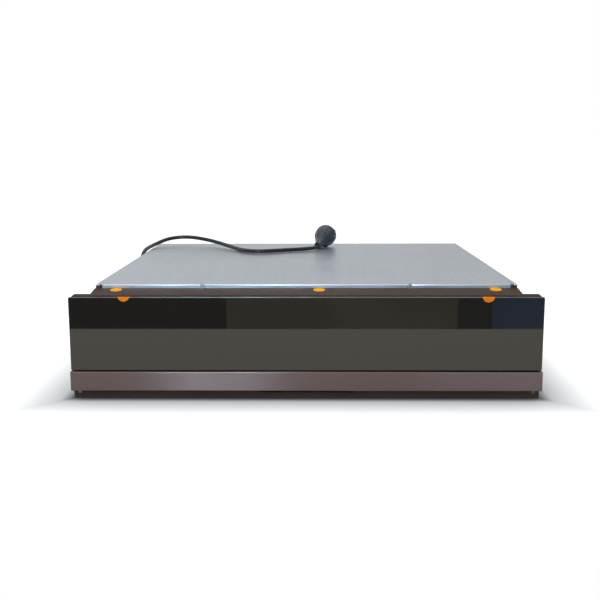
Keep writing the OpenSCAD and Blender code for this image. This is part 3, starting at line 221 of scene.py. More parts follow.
def bar(half_x, low_y, high_y, low, high):
    return prism([(-half_x, low_y), (half_x, low_y), (half_x, high_y), (-half_x, high_y)], low, high)


def ring(inner, outer, low, high, sides):
    across, up = Vector((1, 0, 0)), Vector((0, 1, 0))
    verts = []
    for r, z in ((inner, low), (outer, low), (outer, high), (inner, high)):
        verts += circle(Vector((0, 0, z)), across, up, r, sides)
    rows = [range(i * sides, (i + 1) * sides) for i in range(4)]
    return verts, [face for a, b in zip(rows, rows[1:] + rows[:1]) for face in band(a, b)]


def joined(shapes):
    verts, faces = [], []
    for points, their_faces in shapes:
        faces += [tuple(i + len(verts) for i in face) for face in their_faces]
        verts += points
    return verts, faces


def placed(shape, move):
    points, faces = shape
    return [move @ v for v in points], faces


# ---------------------------------------------------------------- mains cord, in mm
CORD_R = 3.25
CASE_LEFT, CASE_REAR, COVER_TOP = -273.0, 270.7, 142.0
GLAND_X, GLAND_Z, RELIEF_END_Y = -235.0, 14.0, 291.5      # where the cord leaves its strain relief
COIL_AT, COIL_R = (-195.0, 336.0), 35.3                   # its centre and mean radius
COIL_TURNS, COIL_RINGS = 2.75, 24                         # turns, and points for each turn
TURN_STEP = 7.3                                           # from turn to turn, outwards and upwards
CORD_LOW_Z = 3.55                                         # middle of the cord in the lower turns
PATH_STEPS, CORD_SIDES = 3, 20


def coil_point(t):
    """The coil's middle line after t turns: it winds inwards on the floor, then outwards on top."""
    a = math.radians(180 - 360 * t)
    middle = t - COIL_TURNS / 2
    r = COIL_R - TURN_STEP * COIL_TURNS / 4 + TURN_STEP * abs(middle)
    u = max(0.0, min(1.0, middle / 0.5 + 0.5))
    rise = TURN_STEP * u * u * (3 - 2 * u)
    return Vector((COIL_AT[0] + r * math.cos(a), COIL_AT[1] + r * math.sin(a), CORD_LOW_Z + rise))


COIL_START = coil_point(0) - Vector((0, 2 * CORD_R, 0))
COIL_END = coil_point(COIL_TURNS) - Vector((2 * CORD_R, 0, 0))
COIL = [coil_point(i / COIL_RINGS) for i in range(int(COIL_RINGS * COIL_TURNS) + 1)]
GLAND_PATH = [Vector((GLAND_X, RELIEF_END_Y + y, GLAND_Z + z)) for y, z in (
    (0, 0), (6, 0), (14, -2.8), (23, -7.6), (31, -10.2))]
FLOOR_RUN = [Vector((x + CASE_LEFT, y + CASE_REAR, z)) for x, y, z in (
    (63, 25, 10.7), (53, 25, 7.7), (43, 25, 4.4), (18, 24.3, 3.6), (6, 19.8, 3.6), (-3, 10.3, 3.6),
    (-8, -3.7, 3.6), (-8, -110.7, 3.6), (-8, -128.7, 4.4), (-8, -142.7, 10.2),
    (-8, -152.7, 21), (-8, -156.7, 38))]
COVER_RUN = [Vector((x + CASE_LEFT, y + CASE_REAR, z + COVER_TOP)) for x, y, z in (
    (-8, -156.7, -47), (-7.3, -152.7, -25), (-6, -144.7, -10.5), (-5, -132.7, -2), (-4, -112.7, 2.2),
    (-0.5, -85.7, 4.4), (6, -58.7, 6.8), (19, -30.7, 11), (33, -21.2, 13), (53, -19.2, 14),
    (77, -30.2, 12.8), (107, -54.7, 9.5), (133, -86.7, 5.9), (156, -122.7, 3.6), (170, -143.7, 3.6),
    (183, -153.2, 3.6), (199, -154.2, 3.6), (237, -136.7, 3.6), (275, -119.2, 3.9))]

# The plug lies on the cover, on its collar and its cone
PLUG_AT, PLUG_TURN = (18.0, 171.0), 18.0                  # the cord's end of it, and its angle to +Y
PLUG_R, PLUG_L = 18.7, 54.0
COLLAR_R, COLLAR_L, COLLAR_GROOVES = 6.7, 8.0, (2.2, 4.0, 5.8)
NECK = [(8.8, 5.9), (14, 7.1)]                            # distance from the cord's end, and radius
PLUG_CONE = NECK + [(s, share * PLUG_R) for s, share in (
    (22, 0.56), (30, 0.80), (37, 0.93), (42, 0.985), (46, 1))]
CONE_STEPS, PLUG_SIDES = 5, 96
GROOVE_SLOPE, SEAM_AT = 0.3, 47.6
FLUTES, FLUTE_DEPTH, FLUTE_START, FLUTE_END = 12, 0.8, 13, 45
PLUG_GAP = 0.3                                            # between the plug and the cover
PLUG_TILT = math.atan(max((r - COLLAR_R) / s for s, r in PLUG_CONE))
PLUG_END = Vector((*PLUG_AT, COVER_TOP + PLUG_GAP + COLLAR_R * math.cos(PLUG_TILT)))
PLUG_DIR = Vector((math.sin(math.radians(PLUG_TURN)) * math.cos(PLUG_TILT),
                   math.cos(math.radians(PLUG_TURN)) * math.cos(PLUG_TILT), math.sin(PLUG_TILT)))
ROUTE = (GLAND_PATH + [COIL_START] + COIL + [COIL_END] + FLOOR_RUN + COVER_RUN
         + [PLUG_END - 2 * CORD_R * PLUG_DIR, PLUG_END])


def make_cord():
    path = [p * MM for p in smooth_path(ROUTE, PATH_STEPS)]
    cord = add_shape("mains_lead", tube(path, CORD_R * MM, CORD_SIDES), "case", 60)
    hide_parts("cord_run_gland", "cord_coil", "cord_run_plug")
    return cord, path


def groove(at, radius, depth, floor):
    """Outline points of a ring groove from at on."""
    end = at + 2 * GROOVE_SLOPE + floor
    deep = radius - depth
    return [(at, radius), (at + GROOVE_SLOPE, deep), (end - GROOVE_SLOPE, deep), (end, radius)]


def plug_outline():
    """Rounded end, ringed collar, cone, and a seam behind the rounded rim."""
    outline = [(0, 0), (0, COLLAR_R - 1.3), (0.25, COLLAR_R - 0.7), (0.8, COLLAR_R - 0.15), (1.4, COLLAR_R)]
    for at in COLLAR_GROOVES:
        outline += groove(at, COLLAR_R, 0.5, 0.5)
    outline += [(COLLAR_L - 0.6, COLLAR_R), (COLLAR_L - 0.1, COLLAR_R - 0.4)]
    outline += [(p.x, p.y) for p in smooth_path([(s, r, 0) for s, r in PLUG_CONE], CONE_STEPS)]
    outline += groove(SEAM_AT, PLUG_R, 0.4, 0.6)
    outline += [(PLUG_L - back, PLUG_R - cut) for back, cut in ((2.6, 0), (1.4, 0.3), (0.5, 1), (0, 2.1))]
    return outline + [(PLUG_L, 0)]


def press_flutes(verts):
    """Presses shallow grip flutes into the plug's cone, fading out towards both ends."""
    at = PLUG_END * MM
    side = PLUG_DIR.orthogonal().normalized()
    other = PLUG_DIR.cross(side)
    for v in verts:
        s = (v - at).dot(PLUG_DIR)
        out = v - at - PLUG_DIR * s
        share = (s / MM - FLUTE_START) / (FLUTE_END - FLUTE_START)
        if 0 < share < 1 and out.length > 1e-5:
            fade = math.sin(math.pi * share) ** 0.7
            wave = 0.5 - 0.5 * math.cos(FLUTES * math.atan2(out.dot(other), out.dot(side)))
            v -= out.normalized() * (FLUTE_DEPTH * MM * fade * wave)


def make_plug():
    """A round moulded plug with a ringed collar and a fluted cone."""
    verts, faces = lathe(plug_outline(), PLUG_SIDES, PLUG_END * MM, PLUG_DIR)
    press_flutes(verts)
    plug = add_shape("plug_body", (verts, faces), "case", 40)
    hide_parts("mains_plug")
    return plug


LEAD, LEAD_PATH = make_cord()
PLUG = make_plug()


# ---------------------------------------------------------------- materials
def feed(tree, socket, value):
    """Gives a socket a number, a colour or another node's output."""
    if isinstance(value, tuple):
        socket.default_value = (*value, 1)
    elif isinstance(value, (int, float)):
        socket.default_value = value
    else:
        tree.links.new(value, socket)


def math_node(tree, operation, a, b, clamp=False):
    made = tree.nodes.new("ShaderNodeMath")
    made.operation, made.use_clamp = operation, clamp
    for socket, value in zip(made.inputs, (a, b)):
        feed(tree, socket, value)
    return made.outputs[0]


class Shader:
    """Builds one procedural material: colour, roughness and bump from noise in metres."""

    def __init__(self, name, rough=0.5, metallic=0.0, ior=1.5, specular=0.5, coat=0.0, anisotropic=0.0,
                 tint=(1.0, 1.0, 1.0)):
        self.material = bpy.data.materials.new(name)
        self.material.use_nodes = True
        self.tree = self.material.node_tree
        self.bsdf = self.tree.nodes["Principled BSDF"]
        settings = {"Metallic": metallic, "Roughness": rough, "IOR": ior, "Specular IOR Level": specular,
                    "Coat Weight": coat, "Coat Roughness": 0.05, "Anisotropic": anisotropic,
                    "Specular Tint": (*tint, 1)}
        for socket, value in settings.items():
            self.bsdf.inputs[socket].default_value = value
        self.place = self.node("ShaderNodeTexCoord").outputs["Object"]
        self.bump_from = None

    def node(self, kind, **values):
        made = self.tree.nodes.new(kind)
        for key, value in values.items():
            if key in made.inputs:
                made.inputs[key].default_value = value
            else:
                setattr(made, key, value)
        return made

    def link(self, a, b):
        self.tree.links.new(a, b)

    def noise(self, size, detail, stretch=None, rough=0.5, distortion=0.0):
        """A noise whose features are about size metres wide, longer along the axes with a small stretch."""
        made = self.node("ShaderNodeTexNoise", Scale=1.0 / size, Detail=detail, Roughness=rough,
                         Distortion=distortion)
        place = self.place
        if stretch:
            mapping = self.node("ShaderNodeMapping", Scale=stretch)
            self.link(place, mapping.inputs["Vector"])
            place = mapping.outputs["Vector"]
        self.link(place, made.inputs["Vector"])
        return made.outputs["Fac"]

    def cells(self, size):
        """One random grey for each crystal-like cell of about size metres."""
        made = self.node("ShaderNodeTexVoronoi", Scale=1.0 / size)
        self.link(self.place, made.inputs["Vector"])
        grey = self.node("ShaderNodeSeparateColor")
        self.link(made.outputs["Color"], grey.inputs["Color"])
        return grey.outputs["Red"]

    def ramp(self, fac, low, high, floor=0.3, ceiling=0.7):
        """Colours from low, where fac is at the floor, to high, where it is at the ceiling."""
        made = self.node("ShaderNodeValToRGB")
        for element, at, colour in zip(made.color_ramp.elements, (floor, ceiling), (low, high)):
            element.position = at
            element.color = (*colour, 1)
        self.link(fac, made.inputs["Fac"])
        return made.outputs["Color"]

    def shades(self, fac, colour, low, high, floor=0.3, ceiling=0.7):
        """Shades of one colour, from low to high times as bright."""
        return self.ramp(fac, shade(colour, low), shade(colour, high), floor, ceiling)

    def between(self, fac, low, high, floor, ceiling):
        """Numbers from low to high, as fac goes from the floor to the ceiling."""
        made = self.node("ShaderNodeMapRange")
        for key, value in (("From Min", floor), ("From Max", ceiling), ("To Min", low), ("To Max", high)):
            made.inputs[key].default_value = value
        self.link(fac, made.inputs["Value"])
        return made.outputs["Result"]

    def mix(self, fac, a, b):
        made = self.node("ShaderNodeMix", data_type="RGBA")
        for socket, value in ((0, fac), (6, a), (7, b)):         # the mix node's factor and two colours
            feed(self.tree, made.inputs[socket], value)
        return made.outputs[2]

    def math(self, operation, a, b=0.0):
        return math_node(self.tree, operation, a, b)

    def colour(self, output):
        self.link(output, self.bsdf.inputs["Base Color"])

    def roughness(self, fac, low, high, floor=0.3, ceiling=0.7):
        self.link(self.between(fac, low, high, floor, ceiling), self.bsdf.inputs["Roughness"])

    def bump(self, fac, height, strength=1.0):
        """Adds relief of about height metres on top of what is there."""
        made = self.node("ShaderNodeBump", Strength=strength, Distance=height)
        self.link(fac, made.inputs["Height"])
        if self.bump_from:
            self.link(self.bump_from, made.inputs["Normal"])
        self.bump_from = made.outputs["Normal"]
        self.link(self.bump_from, self.bsdf.inputs["Normal"])

    def edge_wear(self, radius):
        """1 where the surface is a sharp outer edge, and 0 where it is flat."""
        bevel = self.node("ShaderNodeBevel", samples=4, Radius=radius)
        normal = self.node("ShaderNodeNewGeometry").outputs["Normal"]
        dot = self.node("ShaderNodeVectorMath", operation="DOT_PRODUCT")
        self.link(bevel.outputs["Normal"], dot.inputs[0])
        self.link(normal, dot.inputs[1])
        return self.between(self.math("SUBTRACT", 1.0, dot.outputs["Value"]), 0, 1, 0.02, 0.25)


def shade(colour, share):
    return tuple(min(1.0, c * share) for c in colour)


def plain_surface(name, colour, rough, metallic=0.0, grain=0.0004, relief=0.00002, vary=0.12, blotch=0.05):
    """A moulded, painted or plated surface: blotchy tone, uneven gloss and a fine grain."""
    s = Shader(name, metallic=metallic)
    fine = s.noise(grain, 2)
    tone = s.shades(s.noise(blotch, 4), colour, 1 - vary, 1 + vary)
    s.colour(s.mix(0.12, tone, s.shades(fine, colour, 0.7, 1.3, 0.35, 0.65)))
    s.roughness(s.noise(blotch / 3, 5), rough * 0.85, min(1.0, rough * 1.2))
    s.bump(fine, relief)
    return s.material


def brushed_surface(name, colour, rough, along, vary, grain=0.00025, anisotropic=0.0):
    """Metal brushed along one axis: 0, 1 or 2 for X, Y or Z."""
    s = Shader(name, metallic=1.0, anisotropic=anisotropic)
    stretch = [1.0, 1.0, 1.0]
    stretch[along] = 0.006
    lines = s.noise(grain, 3, stretch, 0.6)
    coarse = s.noise(grain * 6, 2, stretch, 0.6)
    tone = s.shades(lines, colour, 1 - vary, 1 + vary)
    tone = s.mix(0.35, tone, s.shades(coarse, colour, 1 - vary, 1 + vary, 0.35, 0.65))
    s.colour(s.mix(0.5, tone, s.shades(s.noise(0.12, 3), colour, 0.94, 1.05)))
    s.roughness(lines, rough * 0.85, rough * 1.2)
    s.bump(lines, 0.000012)
    if anisotropic:
        s.bsdf.inputs["Anisotropic Rotation"].default_value = 0.25
        tangent = s.node("ShaderNodeTangent", direction_type="RADIAL", axis="Z")
        s.link(tangent.outputs["Tangent"], s.bsdf.inputs["Tangent"])
    return s.material


def galvanised_surface():
    """Zinc-coated sheet: faint spangle, rolling streaks, a few long scratches and dull spots."""
    base = (0.535, 0.585, 0.635)
    s = Shader("galvanised", metallic=1.0)
    spangle, fine = s.cells(0.011), s.cells(0.003)
    broad = s.noise(0.16, 3)
    streaks = s.noise(0.006, 4, (1, 0.03, 1), 0.65)
    tone = s.shades(spangle, base, 0.965, 1.035, 0, 1)
    tone = s.mix(0.4, tone, s.shades(fine, base, 0.96, 1.04, 0, 1))
    tone = s.mix(0.5, tone, s.shades(broad, base, 0.93, 1.06))
    tone = s.mix(0.25, tone, s.shades(streaks, base, 0.9, 1.1, 0.4, 0.62))
    scratches = s.between(s.noise(0.0035, 2, (1, 0.02, 1), 0.5, 0.4), 0, 0.5, 0.71, 0.75)
    patches = s.between(s.noise(0.11, 2), 0, 1, 0.5, 0.62)
    facing = s.node("ShaderNodeSeparateXYZ")
    s.link(s.node("ShaderNodeNewGeometry").outputs["Normal"], facing.inputs[0])
    lying = s.between(facing.outputs["Z"], 0.06, 0.8, 0.3, 0.9)
    scratched = s.math("MULTIPLY", s.math("MULTIPLY", scratches, patches), lying)
    s.colour(s.mix(scratched, tone, shade(base, 1.5)))
    rough = s.between(spangle, 0.30, 0.35, 0, 1)
    s.link(s.math("ADD", rough, s.between(broad, -0.03, 0.05, 0.3, 0.7)), s.bsdf.inputs["Roughness"])
    s.bump(s.noise(0.02, 2), 0.00004, 0.6)
    s.bump(fine, 0.000006)
    s.bump(scratched, 0.000008)
    return s.material


def frame_paint():
    """Satin stoved enamel with a fine orange peel and bright rubbed edges."""
    s = Shader("frame_paint", rough=0.36, specular=0.03, tint=(1.0, 0.84, 0.77))
    tone = s.shades(s.noise(0.08, 3), (0.069, 0.043, 0.033), 0.9, 1.1)
    speck = s.between(s.noise(0.0009, 3), 0, 1, 0.69, 0.75)
    tone = s.mix(s.math("MULTIPLY", speck, 0.22), tone, (0.24, 0.22, 0.21))
    wear = s.math("MULTIPLY", s.edge_wear(0.0006), s.between(s.noise(0.012, 4), 0, 0.5, 0.52, 0.68))
    s.colour(s.mix(wear, tone, (0.30, 0.27, 0.25)))
    s.roughness(s.noise(0.02, 4), 0.40, 0.52)
    s.bump(s.noise(0.0011, 2), 0.00001, 0.7)
    return s.material


def glass_surface():
    """Back-coated dark glass: a mirror-smooth face with specks of dust and wipe marks in its gloss."""
    s = Shader("mirror_glass", ior=1.73, tint=(1.0, 0.88, 0.73))
    tone = s.ramp(s.noise(0.2, 2), (0.0066, 0.0062, 0.0058), (0.0080, 0.0076, 0.0070))
    dust = s.between(s.noise(0.0016, 2), 0, 1, 0.74, 0.78)
    s.colour(s.mix(s.math("MULTIPLY", dust, 0.10), tone, (0.25, 0.24, 0.22)))
    s.roughness(s.noise(0.035, 5, (1, 1, 0.35), 0.6), 0.012, 0.05, 0.35, 0.75)
    return s.material


def glass_edge_surface():
    """The ground edge of the glass."""
    s = Shader("glass_edge", ior=1.6, specular=0.35)
    s.colour(s.ramp(s.noise(0.004, 3, (0.2, 1, 1)), (0.038, 0.041, 0.043), (0.066, 0.071, 0.074)))
    s.roughness(s.noise(0.001, 2), 0.12, 0.28)
    s.bump(s.noise(0.0004, 2, (0.1, 1, 1)), 0.00001)
    return s.material


def lamp_surface():
    s = Shader("lamp_lens", rough=0.12, coat=0.6)
    s.bsdf.inputs["Transmission Weight"].default_value = 0.35
    s.colour(s.ramp(s.noise(0.002, 2), (0.80, 0.22, 0.02), (0.95, 0.36, 0.05)))
    s.roughness(s.noise(0.004, 2), 0.1, 0.2)
    return s.material


def winding_surface():
    """Lacquered copper wire, turn beside turn."""
    s = Shader("winding", rough=0.3, coat=0.5)
    turns = s.noise(0.0004, 1, (1, 0.02, 1))
    s.colour(s.ramp(turns, (0.28, 0.09, 0.025), (0.62, 0.26, 0.09), 0.35, 0.65))
    s.roughness(turns, 0.22, 0.4)
    s.bump(turns, 0.00015)
    return s.material


def cord_surface():
    s = Shader("cord_pvc", specular=0.35)
    s.colour(s.ramp(s.noise(0.03, 4), (0.007, 0.008, 0.010), (0.012, 0.014, 0.018)))
    s.roughness(s.noise(0.006, 4), 0.20, 0.30)
    s.bump(s.noise(0.0007, 2), 0.00001, 0.5)
    return s.material


def plug_surface():
    s = Shader("plug_pvc", specular=0.55)
    s.colour(s.ramp(s.noise(0.02, 4), (0.009, 0.015, 0.026), (0.015, 0.024, 0.041)))
    s.roughness(s.noise(0.004, 4), 0.07, 0.13)
    s.bump(s.noise(0.0012, 2), 0.000006, 0.5)
    return s.material


def mat_surface():
    """Anti-slip rubber mat: matt, with a close grid of raised dots that are a little paler."""
    s = Shader("mat_rubber", specular=0.25)
    place = s.node("ShaderNodeSeparateXYZ")
    s.link(s.place, place.inputs[0])
    pitch = 0.0055
    waves = [s.math("SINE", s.math("MULTIPLY", place.outputs[axis], 2 * math.pi / pitch)) for axis in "XY"]
    dots = s.between(s.math("MULTIPLY", *waves), 0, 1, 0.15, 0.75)
    tone = s.ramp(s.noise(0.09, 3), (0.020, 0.020, 0.021), (0.027, 0.027, 0.028))
    s.colour(s.mix(s.math("MULTIPLY", dots, 0.5), tone, (0.040, 0.040, 0.042)))
    s.roughness(s.noise(0.01, 4), 0.62, 0.80)
    s.bump(dots, 0.0005)
    s.bump(s.noise(0.0007, 2), 0.00003)
    return s.material


def print_surface():
    """White printed marks, a little uneven."""
    s = Shader("printed_white", specular=0.3)
    s.colour(s.ramp(s.noise(0.0006, 3), (0.62, 0.62, 0.60), (0.78, 0.78, 0.76)))
    s.roughness(s.noise(0.001, 2), 0.42, 0.6)
    return s.material


def sticker_surface(name, low, high):
    """Matt paper, printed in one colour."""
    s = Shader(name, specular=0.05)
    s.colour(s.ramp(s.noise(0.004, 4), low, high))
    s.roughness(s.noise(0.002, 3), 0.55, 0.75)
    s.bump(s.noise(0.0005, 4, None, 0.6), 0.00004)
    return s.material


MATERIALS = {
    "galvanised_steel": galvanised_surface(),
    "frame_paint": frame_paint(),
    "zinc_steel": brushed_surface("zinc_steel", (0.60, 0.62, 0.64), 0.34, 1, vary=0.06),
    "stainless_steel": brushed_surface("stainless_steel", (0.52, 0.52, 0.51), 0.33, 1, vary=0.07),
    "black_rubber": plain_surface("black_rubber", (0.022, 0.022, 0.024), 0.7, grain=0.0009, relief=0.00008),
    "cast_aluminium": plain_surface("pressed_aluminium", (0.58, 0.59, 0.61), 0.4, 1.0, vary=0.06),
    "heater_sheath": plain_surface("heater_sheath", (0.16, 0.13, 0.12), 0.45, 0.9, vary=0.35, blotch=0.02),
    "motor_steel": brushed_surface("motor_steel", (0.16, 0.16, 0.17), 0.45, 0, grain=0.0006, vary=0.3),
    "winding": winding_surface(),
    "black_plastic": plain_surface("black_plastic", (0.020, 0.020, 0.022), 0.42, relief=0.00004),
    "white_plastic": plain_surface("white_plastic", (0.74, 0.72, 0.66), 0.38, vary=0.04),
    "ball_steel": plain_surface("ball_steel", (0.70, 0.71, 0.73), 0.12, 1.0, vary=0.04),
    "cage_steel": plain_surface("cage_steel", (0.56, 0.43, 0.20), 0.35, 1.0, vary=0.2, blotch=0.015),
    "mirror_glass": glass_surface(),
    "bronze_strip": brushed_surface("bronze_strip", (0.168, 0.123, 0.116), 0.22, 0, vary=0.16,
                                    anisotropic=1.0),
    "lamp_lens": lamp_surface(),
    "cord_pvc": cord_surface(),
    "pin_nickel": brushed_surface("pin_nickel", (0.66, 0.64, 0.58), 0.22, 1, grain=0.0003, vary=0.06),
}
PLUG_PVC = plug_surface()
# dark steel for the screw collars, darkened as painted shade round the screw heads
SCREW_SHADE_STEEL = plain_surface("screw_shade_steel", (0.17, 0.18, 0.20), 0.24, 1.0, vary=0.08)
GLASS_EDGE = glass_edge_surface()
MAT_RUBBER = mat_surface()
PRINT_WHITE = print_surface()
STICKER_PAPER = sticker_surface("sticker_paper", (0.90, 0.335, 0.004), (1.0, 0.395, 0.008))
# the same orange paper, darker: painted shade for the dots that face forward on the glass
STICKER_PAINTED_SHADE = sticker_surface("sticker_painted_shade", (0.70, 0.165, 0.003), (0.80, 0.20, 0.006))


def paint(thing, *materials):
    thing.data.materials.clear()
    for m in materials:
        thing.data.materials.append(m)


# ---------------------------------------------------------------- CAD nodes
BEVELS = {  # edge rounding in mm by node, where a plain sharp edge would show
    "top_cover": 0.5, "front_frame": 0.35, "trim_strip": 0.35, "control_panel": 0.5,
    "thermostat_knob": 0.35, "switch_rocker": 0.3, "switch_body": 0.3, "front_carrier": 0.3,
    "drawer_tray": 0.3, "rear_panel": 0.3, "left_side_panel": 0.3, "right_side_panel": 0.3,
    "base_pan": 0.3, "terminal_block": 0.3, "latch_body": 0.3, "anti_slip_mat": 0.4, "cord_gland": 0.3,
    "plug_pins": 0.4, "air_baffle": 0.3,
}


def dress(name, thing, slot):
    """Gives a CAD node its material, and rounds its edges."""
    mesh = thing.data
    paint(thing, MATERIALS[slot])
    mesh.polygons.foreach_set("material_index", [0] * len(mesh.polygons))
    weld = thing.modifiers.new("weld", "WELD")
    weld.merge_threshold = 1e-6
    if name in BEVELS:
        bevel = thing.modifiers.new("bevel", "BEVEL")
        bevel.width = BEVELS[name] * MM
        bevel.segments = 2
        bevel.limit_method = "ANGLE"
        bevel.angle_limit = math.radians(40)


def dress_nodes():
    slots = {row["node"]: row["material_slot"] for row in frame["record"]["subparts"]}
    for name, thing in nodes.items():
        dress(name, thing, slots[name])


dress_nodes()
paint(nodes["anti_slip_mat"], MAT_RUBBER)
paint(LEAD, MATERIALS["cord_pvc"])
paint(PLUG, PLUG_PVC)


# ---------------------------------------------------------------- glass front
GLASS_CORNER, GLASS_CHAMFER = 1.8, 0.7       # rounding of the corners, and the ground chamfer all round


def make_glass():
    """The glass with its ground edges."""
    low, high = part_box("glass_panel")
    work = bmesh.new()
    bmesh.ops.create_cube(work, size=1)
    for v in work.verts:
        v.co = Vector([low[i] + (v.co[i] + 0.5) * (high[i] - low[i]) for i in range(3)])
    corners = [e for e in work.edges if abs(e.verts[0].co.y - e.verts[1].co.y) > 1e-4]
    bmesh.ops.bevel(work, geom=corners, offset=GLASS_CORNER * MM, segments=4, affect="EDGES", profile=0.5)
    rims = [e for e in work.edges if sum(abs(f.normal.y) > 0.5 for f in e.link_faces) == 1]
    bmesh.ops.bevel(work, geom=rims, offset=GLASS_CHAMFER * MM, segments=2, affect="EDGES", profile=0.5)
    work.normal_update()
    ground = [abs(f.normal.y) <= 0.99 for f in work.faces]
    mesh = bpy.data.meshes.new("glass_front")
    work.to_mesh(mesh)
    work.free()
    glass = add_object("glass_front", mesh, "drawer", 12)
    paint(glass, MATERIALS["mirror_glass"], GLASS_EDGE)
    mesh.polygons.foreach_set("material_index", [int(edge) for edge in ground])
    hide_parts("glass_panel")


make_glass()


# ---------------------------------------------------------------- stickers, in mm
STICKER_R, STICKER_T, STICKER_GAP = 7.55, 0.12, 0.02
STICKER_TIP = 0.9995 * STICKER_R                 # height of the short first and last row
STICKER_COLUMNS, STICKER_ROWS, ROW_APART = 16, 22, 0.12
CAP_FRONT, CAP_BACK = Vector((0, -256.8, 133.0)), Vector((0, -224.0, 137.2))     # edges of the sloping cap
# Name, x and y of the dot's middle, in the photograph's pixels
CAP_DOTS = (("dot_left", 115.6, 289.3), ("dot_middle", 318.7, 289.3), ("dot_right", 495.2, 288.9))
# Name, x, and how far down the glass's face the dot reaches
GLASS_DOTS = (("dot_glass_left", -227.3, 4.6), ("dot_glass_right", 227.2, 5.6))
DOT_CORNER, DOT_TAIL = 0.8, 5.2                  # the fold's radius, and the length behind the glass
DOT_LEAN = math.radians(32)


def sticker_rows(folds, reach):
    """Heights of a dot's rows of points, closer towards its ends, with one row at each fold."""
    rise = [-STICKER_TIP * math.cos(math.pi * k / STICKER_ROWS) for k in range(STICKER_ROWS + 1)]
    if reach < STICKER_R:
        folds = [*folds, reach]
    rise = [v for v in rise if v <= reach and all(abs(v - fold) > ROW_APART for fold in folds)]
    return sorted(rise + [fold for fold in folds if abs(fold) < STICKER_R * 0.99])


def sticker(name, body, place, paper, folds=(), reach=STICKER_R):
    """A round paper dot, cut off above reach; place(u, v) is its point and normal, u across, v up."""
    heights = sticker_rows(folds, reach)
    points, faces = [], []
    for lift in (STICKER_T, STICKER_GAP):
        for v in heights:
            half = math.sqrt(STICKER_R ** 2 - v * v)
            for c in range(STICKER_COLUMNS + 1):
                point, normal = place(half * math.sin(math.pi * (c / STICKER_COLUMNS - 0.5)), v)
                points.append((point + normal * lift) * MM)
    wide = STICKER_COLUMNS + 1
    count = wide * len(heights)
    grid = [list(range(r * wide, (r + 1) * wide)) for r in range(len(heights))]
    for base in (0, count):
        for low, high in zip(grid, grid[1:]):
            for c in range(STICKER_COLUMNS):
                faces.append(tuple(base + i for i in (low[c], low[c + 1], high[c + 1], high[c])))
    rim = grid[0] + [row[-1] for row in grid[1:]] + grid[-1][-2::-1] + [row[0] for row in grid[-2:0:-1]]
    faces += band(rim, [i + count for i in rim])
    paint(add_shape(name, (points, faces), body, 40), paper)


def cap_stickers():
    """Three dots on the sloping cap of the mounting frame, where the photograph's pixels meet it."""
    up = (CAP_BACK - CAP_FRONT).normalized()
    normal = Vector((0, -up.z, up.y))
    start = CAMERA_AT / MM
    for name, x, y in CAP_DOTS:
        ray = pixel_ray(x, y)
        centre = start + ray * ((CAP_FRONT - start).dot(normal) / ray.dot(normal))
        sticker(name, "case", lambda u, v, c=centre: (c + Vector((u, 0, 0)) + up * v, normal), STICKER_PAPER)


def glass_stickers():
    """Two dots folded over the glass's top edge, with the rear part leaning into the gap."""
    low, high = box_mm("glass_panel")
    face, back, top = low.y, high.y, high.z
    arc, flat = DOT_CORNER * math.pi / 2, back - face - DOT_CORNER

    def place(x, s):
        """The point and normal at s mm along the dot's way up the face, round the edge, back and down."""
        if s <= 0:
            return Vector((x, face, top - DOT_CORNER + s)), Vector((0, -1, 0))
        if s < arc:
            a = s / DOT_CORNER
            normal = Vector((0, -math.cos(a), math.sin(a)))
            return Vector((x, face + DOT_CORNER, top - DOT_CORNER)) + DOT_CORNER * normal, normal
        s -= arc
        if s < flat:
            return Vector((x, face + DOT_CORNER + s, top)), Vector((0, 0, 1))
        s -= flat
        lean_y, lean_z = math.cos(DOT_LEAN), math.sin(DOT_LEAN)
        return Vector((x, back + s * lean_y, top - s * lean_z)), Vector((0, lean_z, lean_y))

    for name, x, below in GLASS_DOTS:
        edge = below - STICKER_R                     # height on the dot where the fold starts
        folds = [edge + s for s in (0, arc / 4, arc / 2, arc * 3 / 4, arc, arc + flat)]
        # these dots take the darker copy of the paper, which is painted shade
        sticker(name, "drawer", lambda u, v, x=x, edge=edge: place(x + u, v - edge), STICKER_PAINTED_SHADE, folds,
                edge + arc + flat + DOT_TAIL)


cap_stickers()
glass_stickers()


# ---------------------------------------------------------------- latch spring, in mm
WIRE_R, SPRING_TURNS, TURN_POINTS, SPRING_GAP = 0.34, 13, 18, 0.02


def make_spring():
    """The latch's wound return spring, drawn at one length on the case."""
    low, high = box_mm("latch_spring")
    middle, length = (low + high) / 2, high.y - low.y
    radius = (high.x - low.x) / 2 - WIRE_R - SPRING_GAP
    first, last = low.y + WIRE_R + SPRING_GAP, high.y - WIRE_R - SPRING_GAP
    closed = 2.1 * WIRE_R                            # rise of each end turn, which lies on the next
    points = []
    for i in range(SPRING_TURNS * TURN_POINTS + 1):
        t = i / TURN_POINTS
        lead = min(max((t - 1) / (SPRING_TURNS - 2), 0), 1)
        end_turns = min(t, 1) + max(t - SPRING_TURNS + 1, 0)
        along = first + closed * end_turns + (last - first - 2 * closed) * lead
        a = 2 * math.pi * t
        points.append(mm(middle.x + radius * math.cos(a), along, middle.z + radius * math.sin(a)))
    spring = add_shape("spring_coil", tube(points, WIRE_R * MM, 8), "case", 60)
    paint(spring, MATERIALS["zinc_steel"])
    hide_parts("latch_spring")
    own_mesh(spring)


make_spring()


# ---------------------------------------------------------------- printed marks, and dark screw collars that paint the shade round the screw heads, in mm
PRINT_T, PRINT_GAP = 0.06, 0.01
NUMERALS, NUMERAL_SIZE = 4, 4.6
POINTER_DEPTH = 1.0                          # the pointer line lies in the groove of the knob's top
ROCKER_TOP, MARK_X = 2.41, 5                 # the rocker's face over its pivot, and its marks from there
FOLD_SCREW_X, FOLD_SCREW_Z = 134.0, 139.4


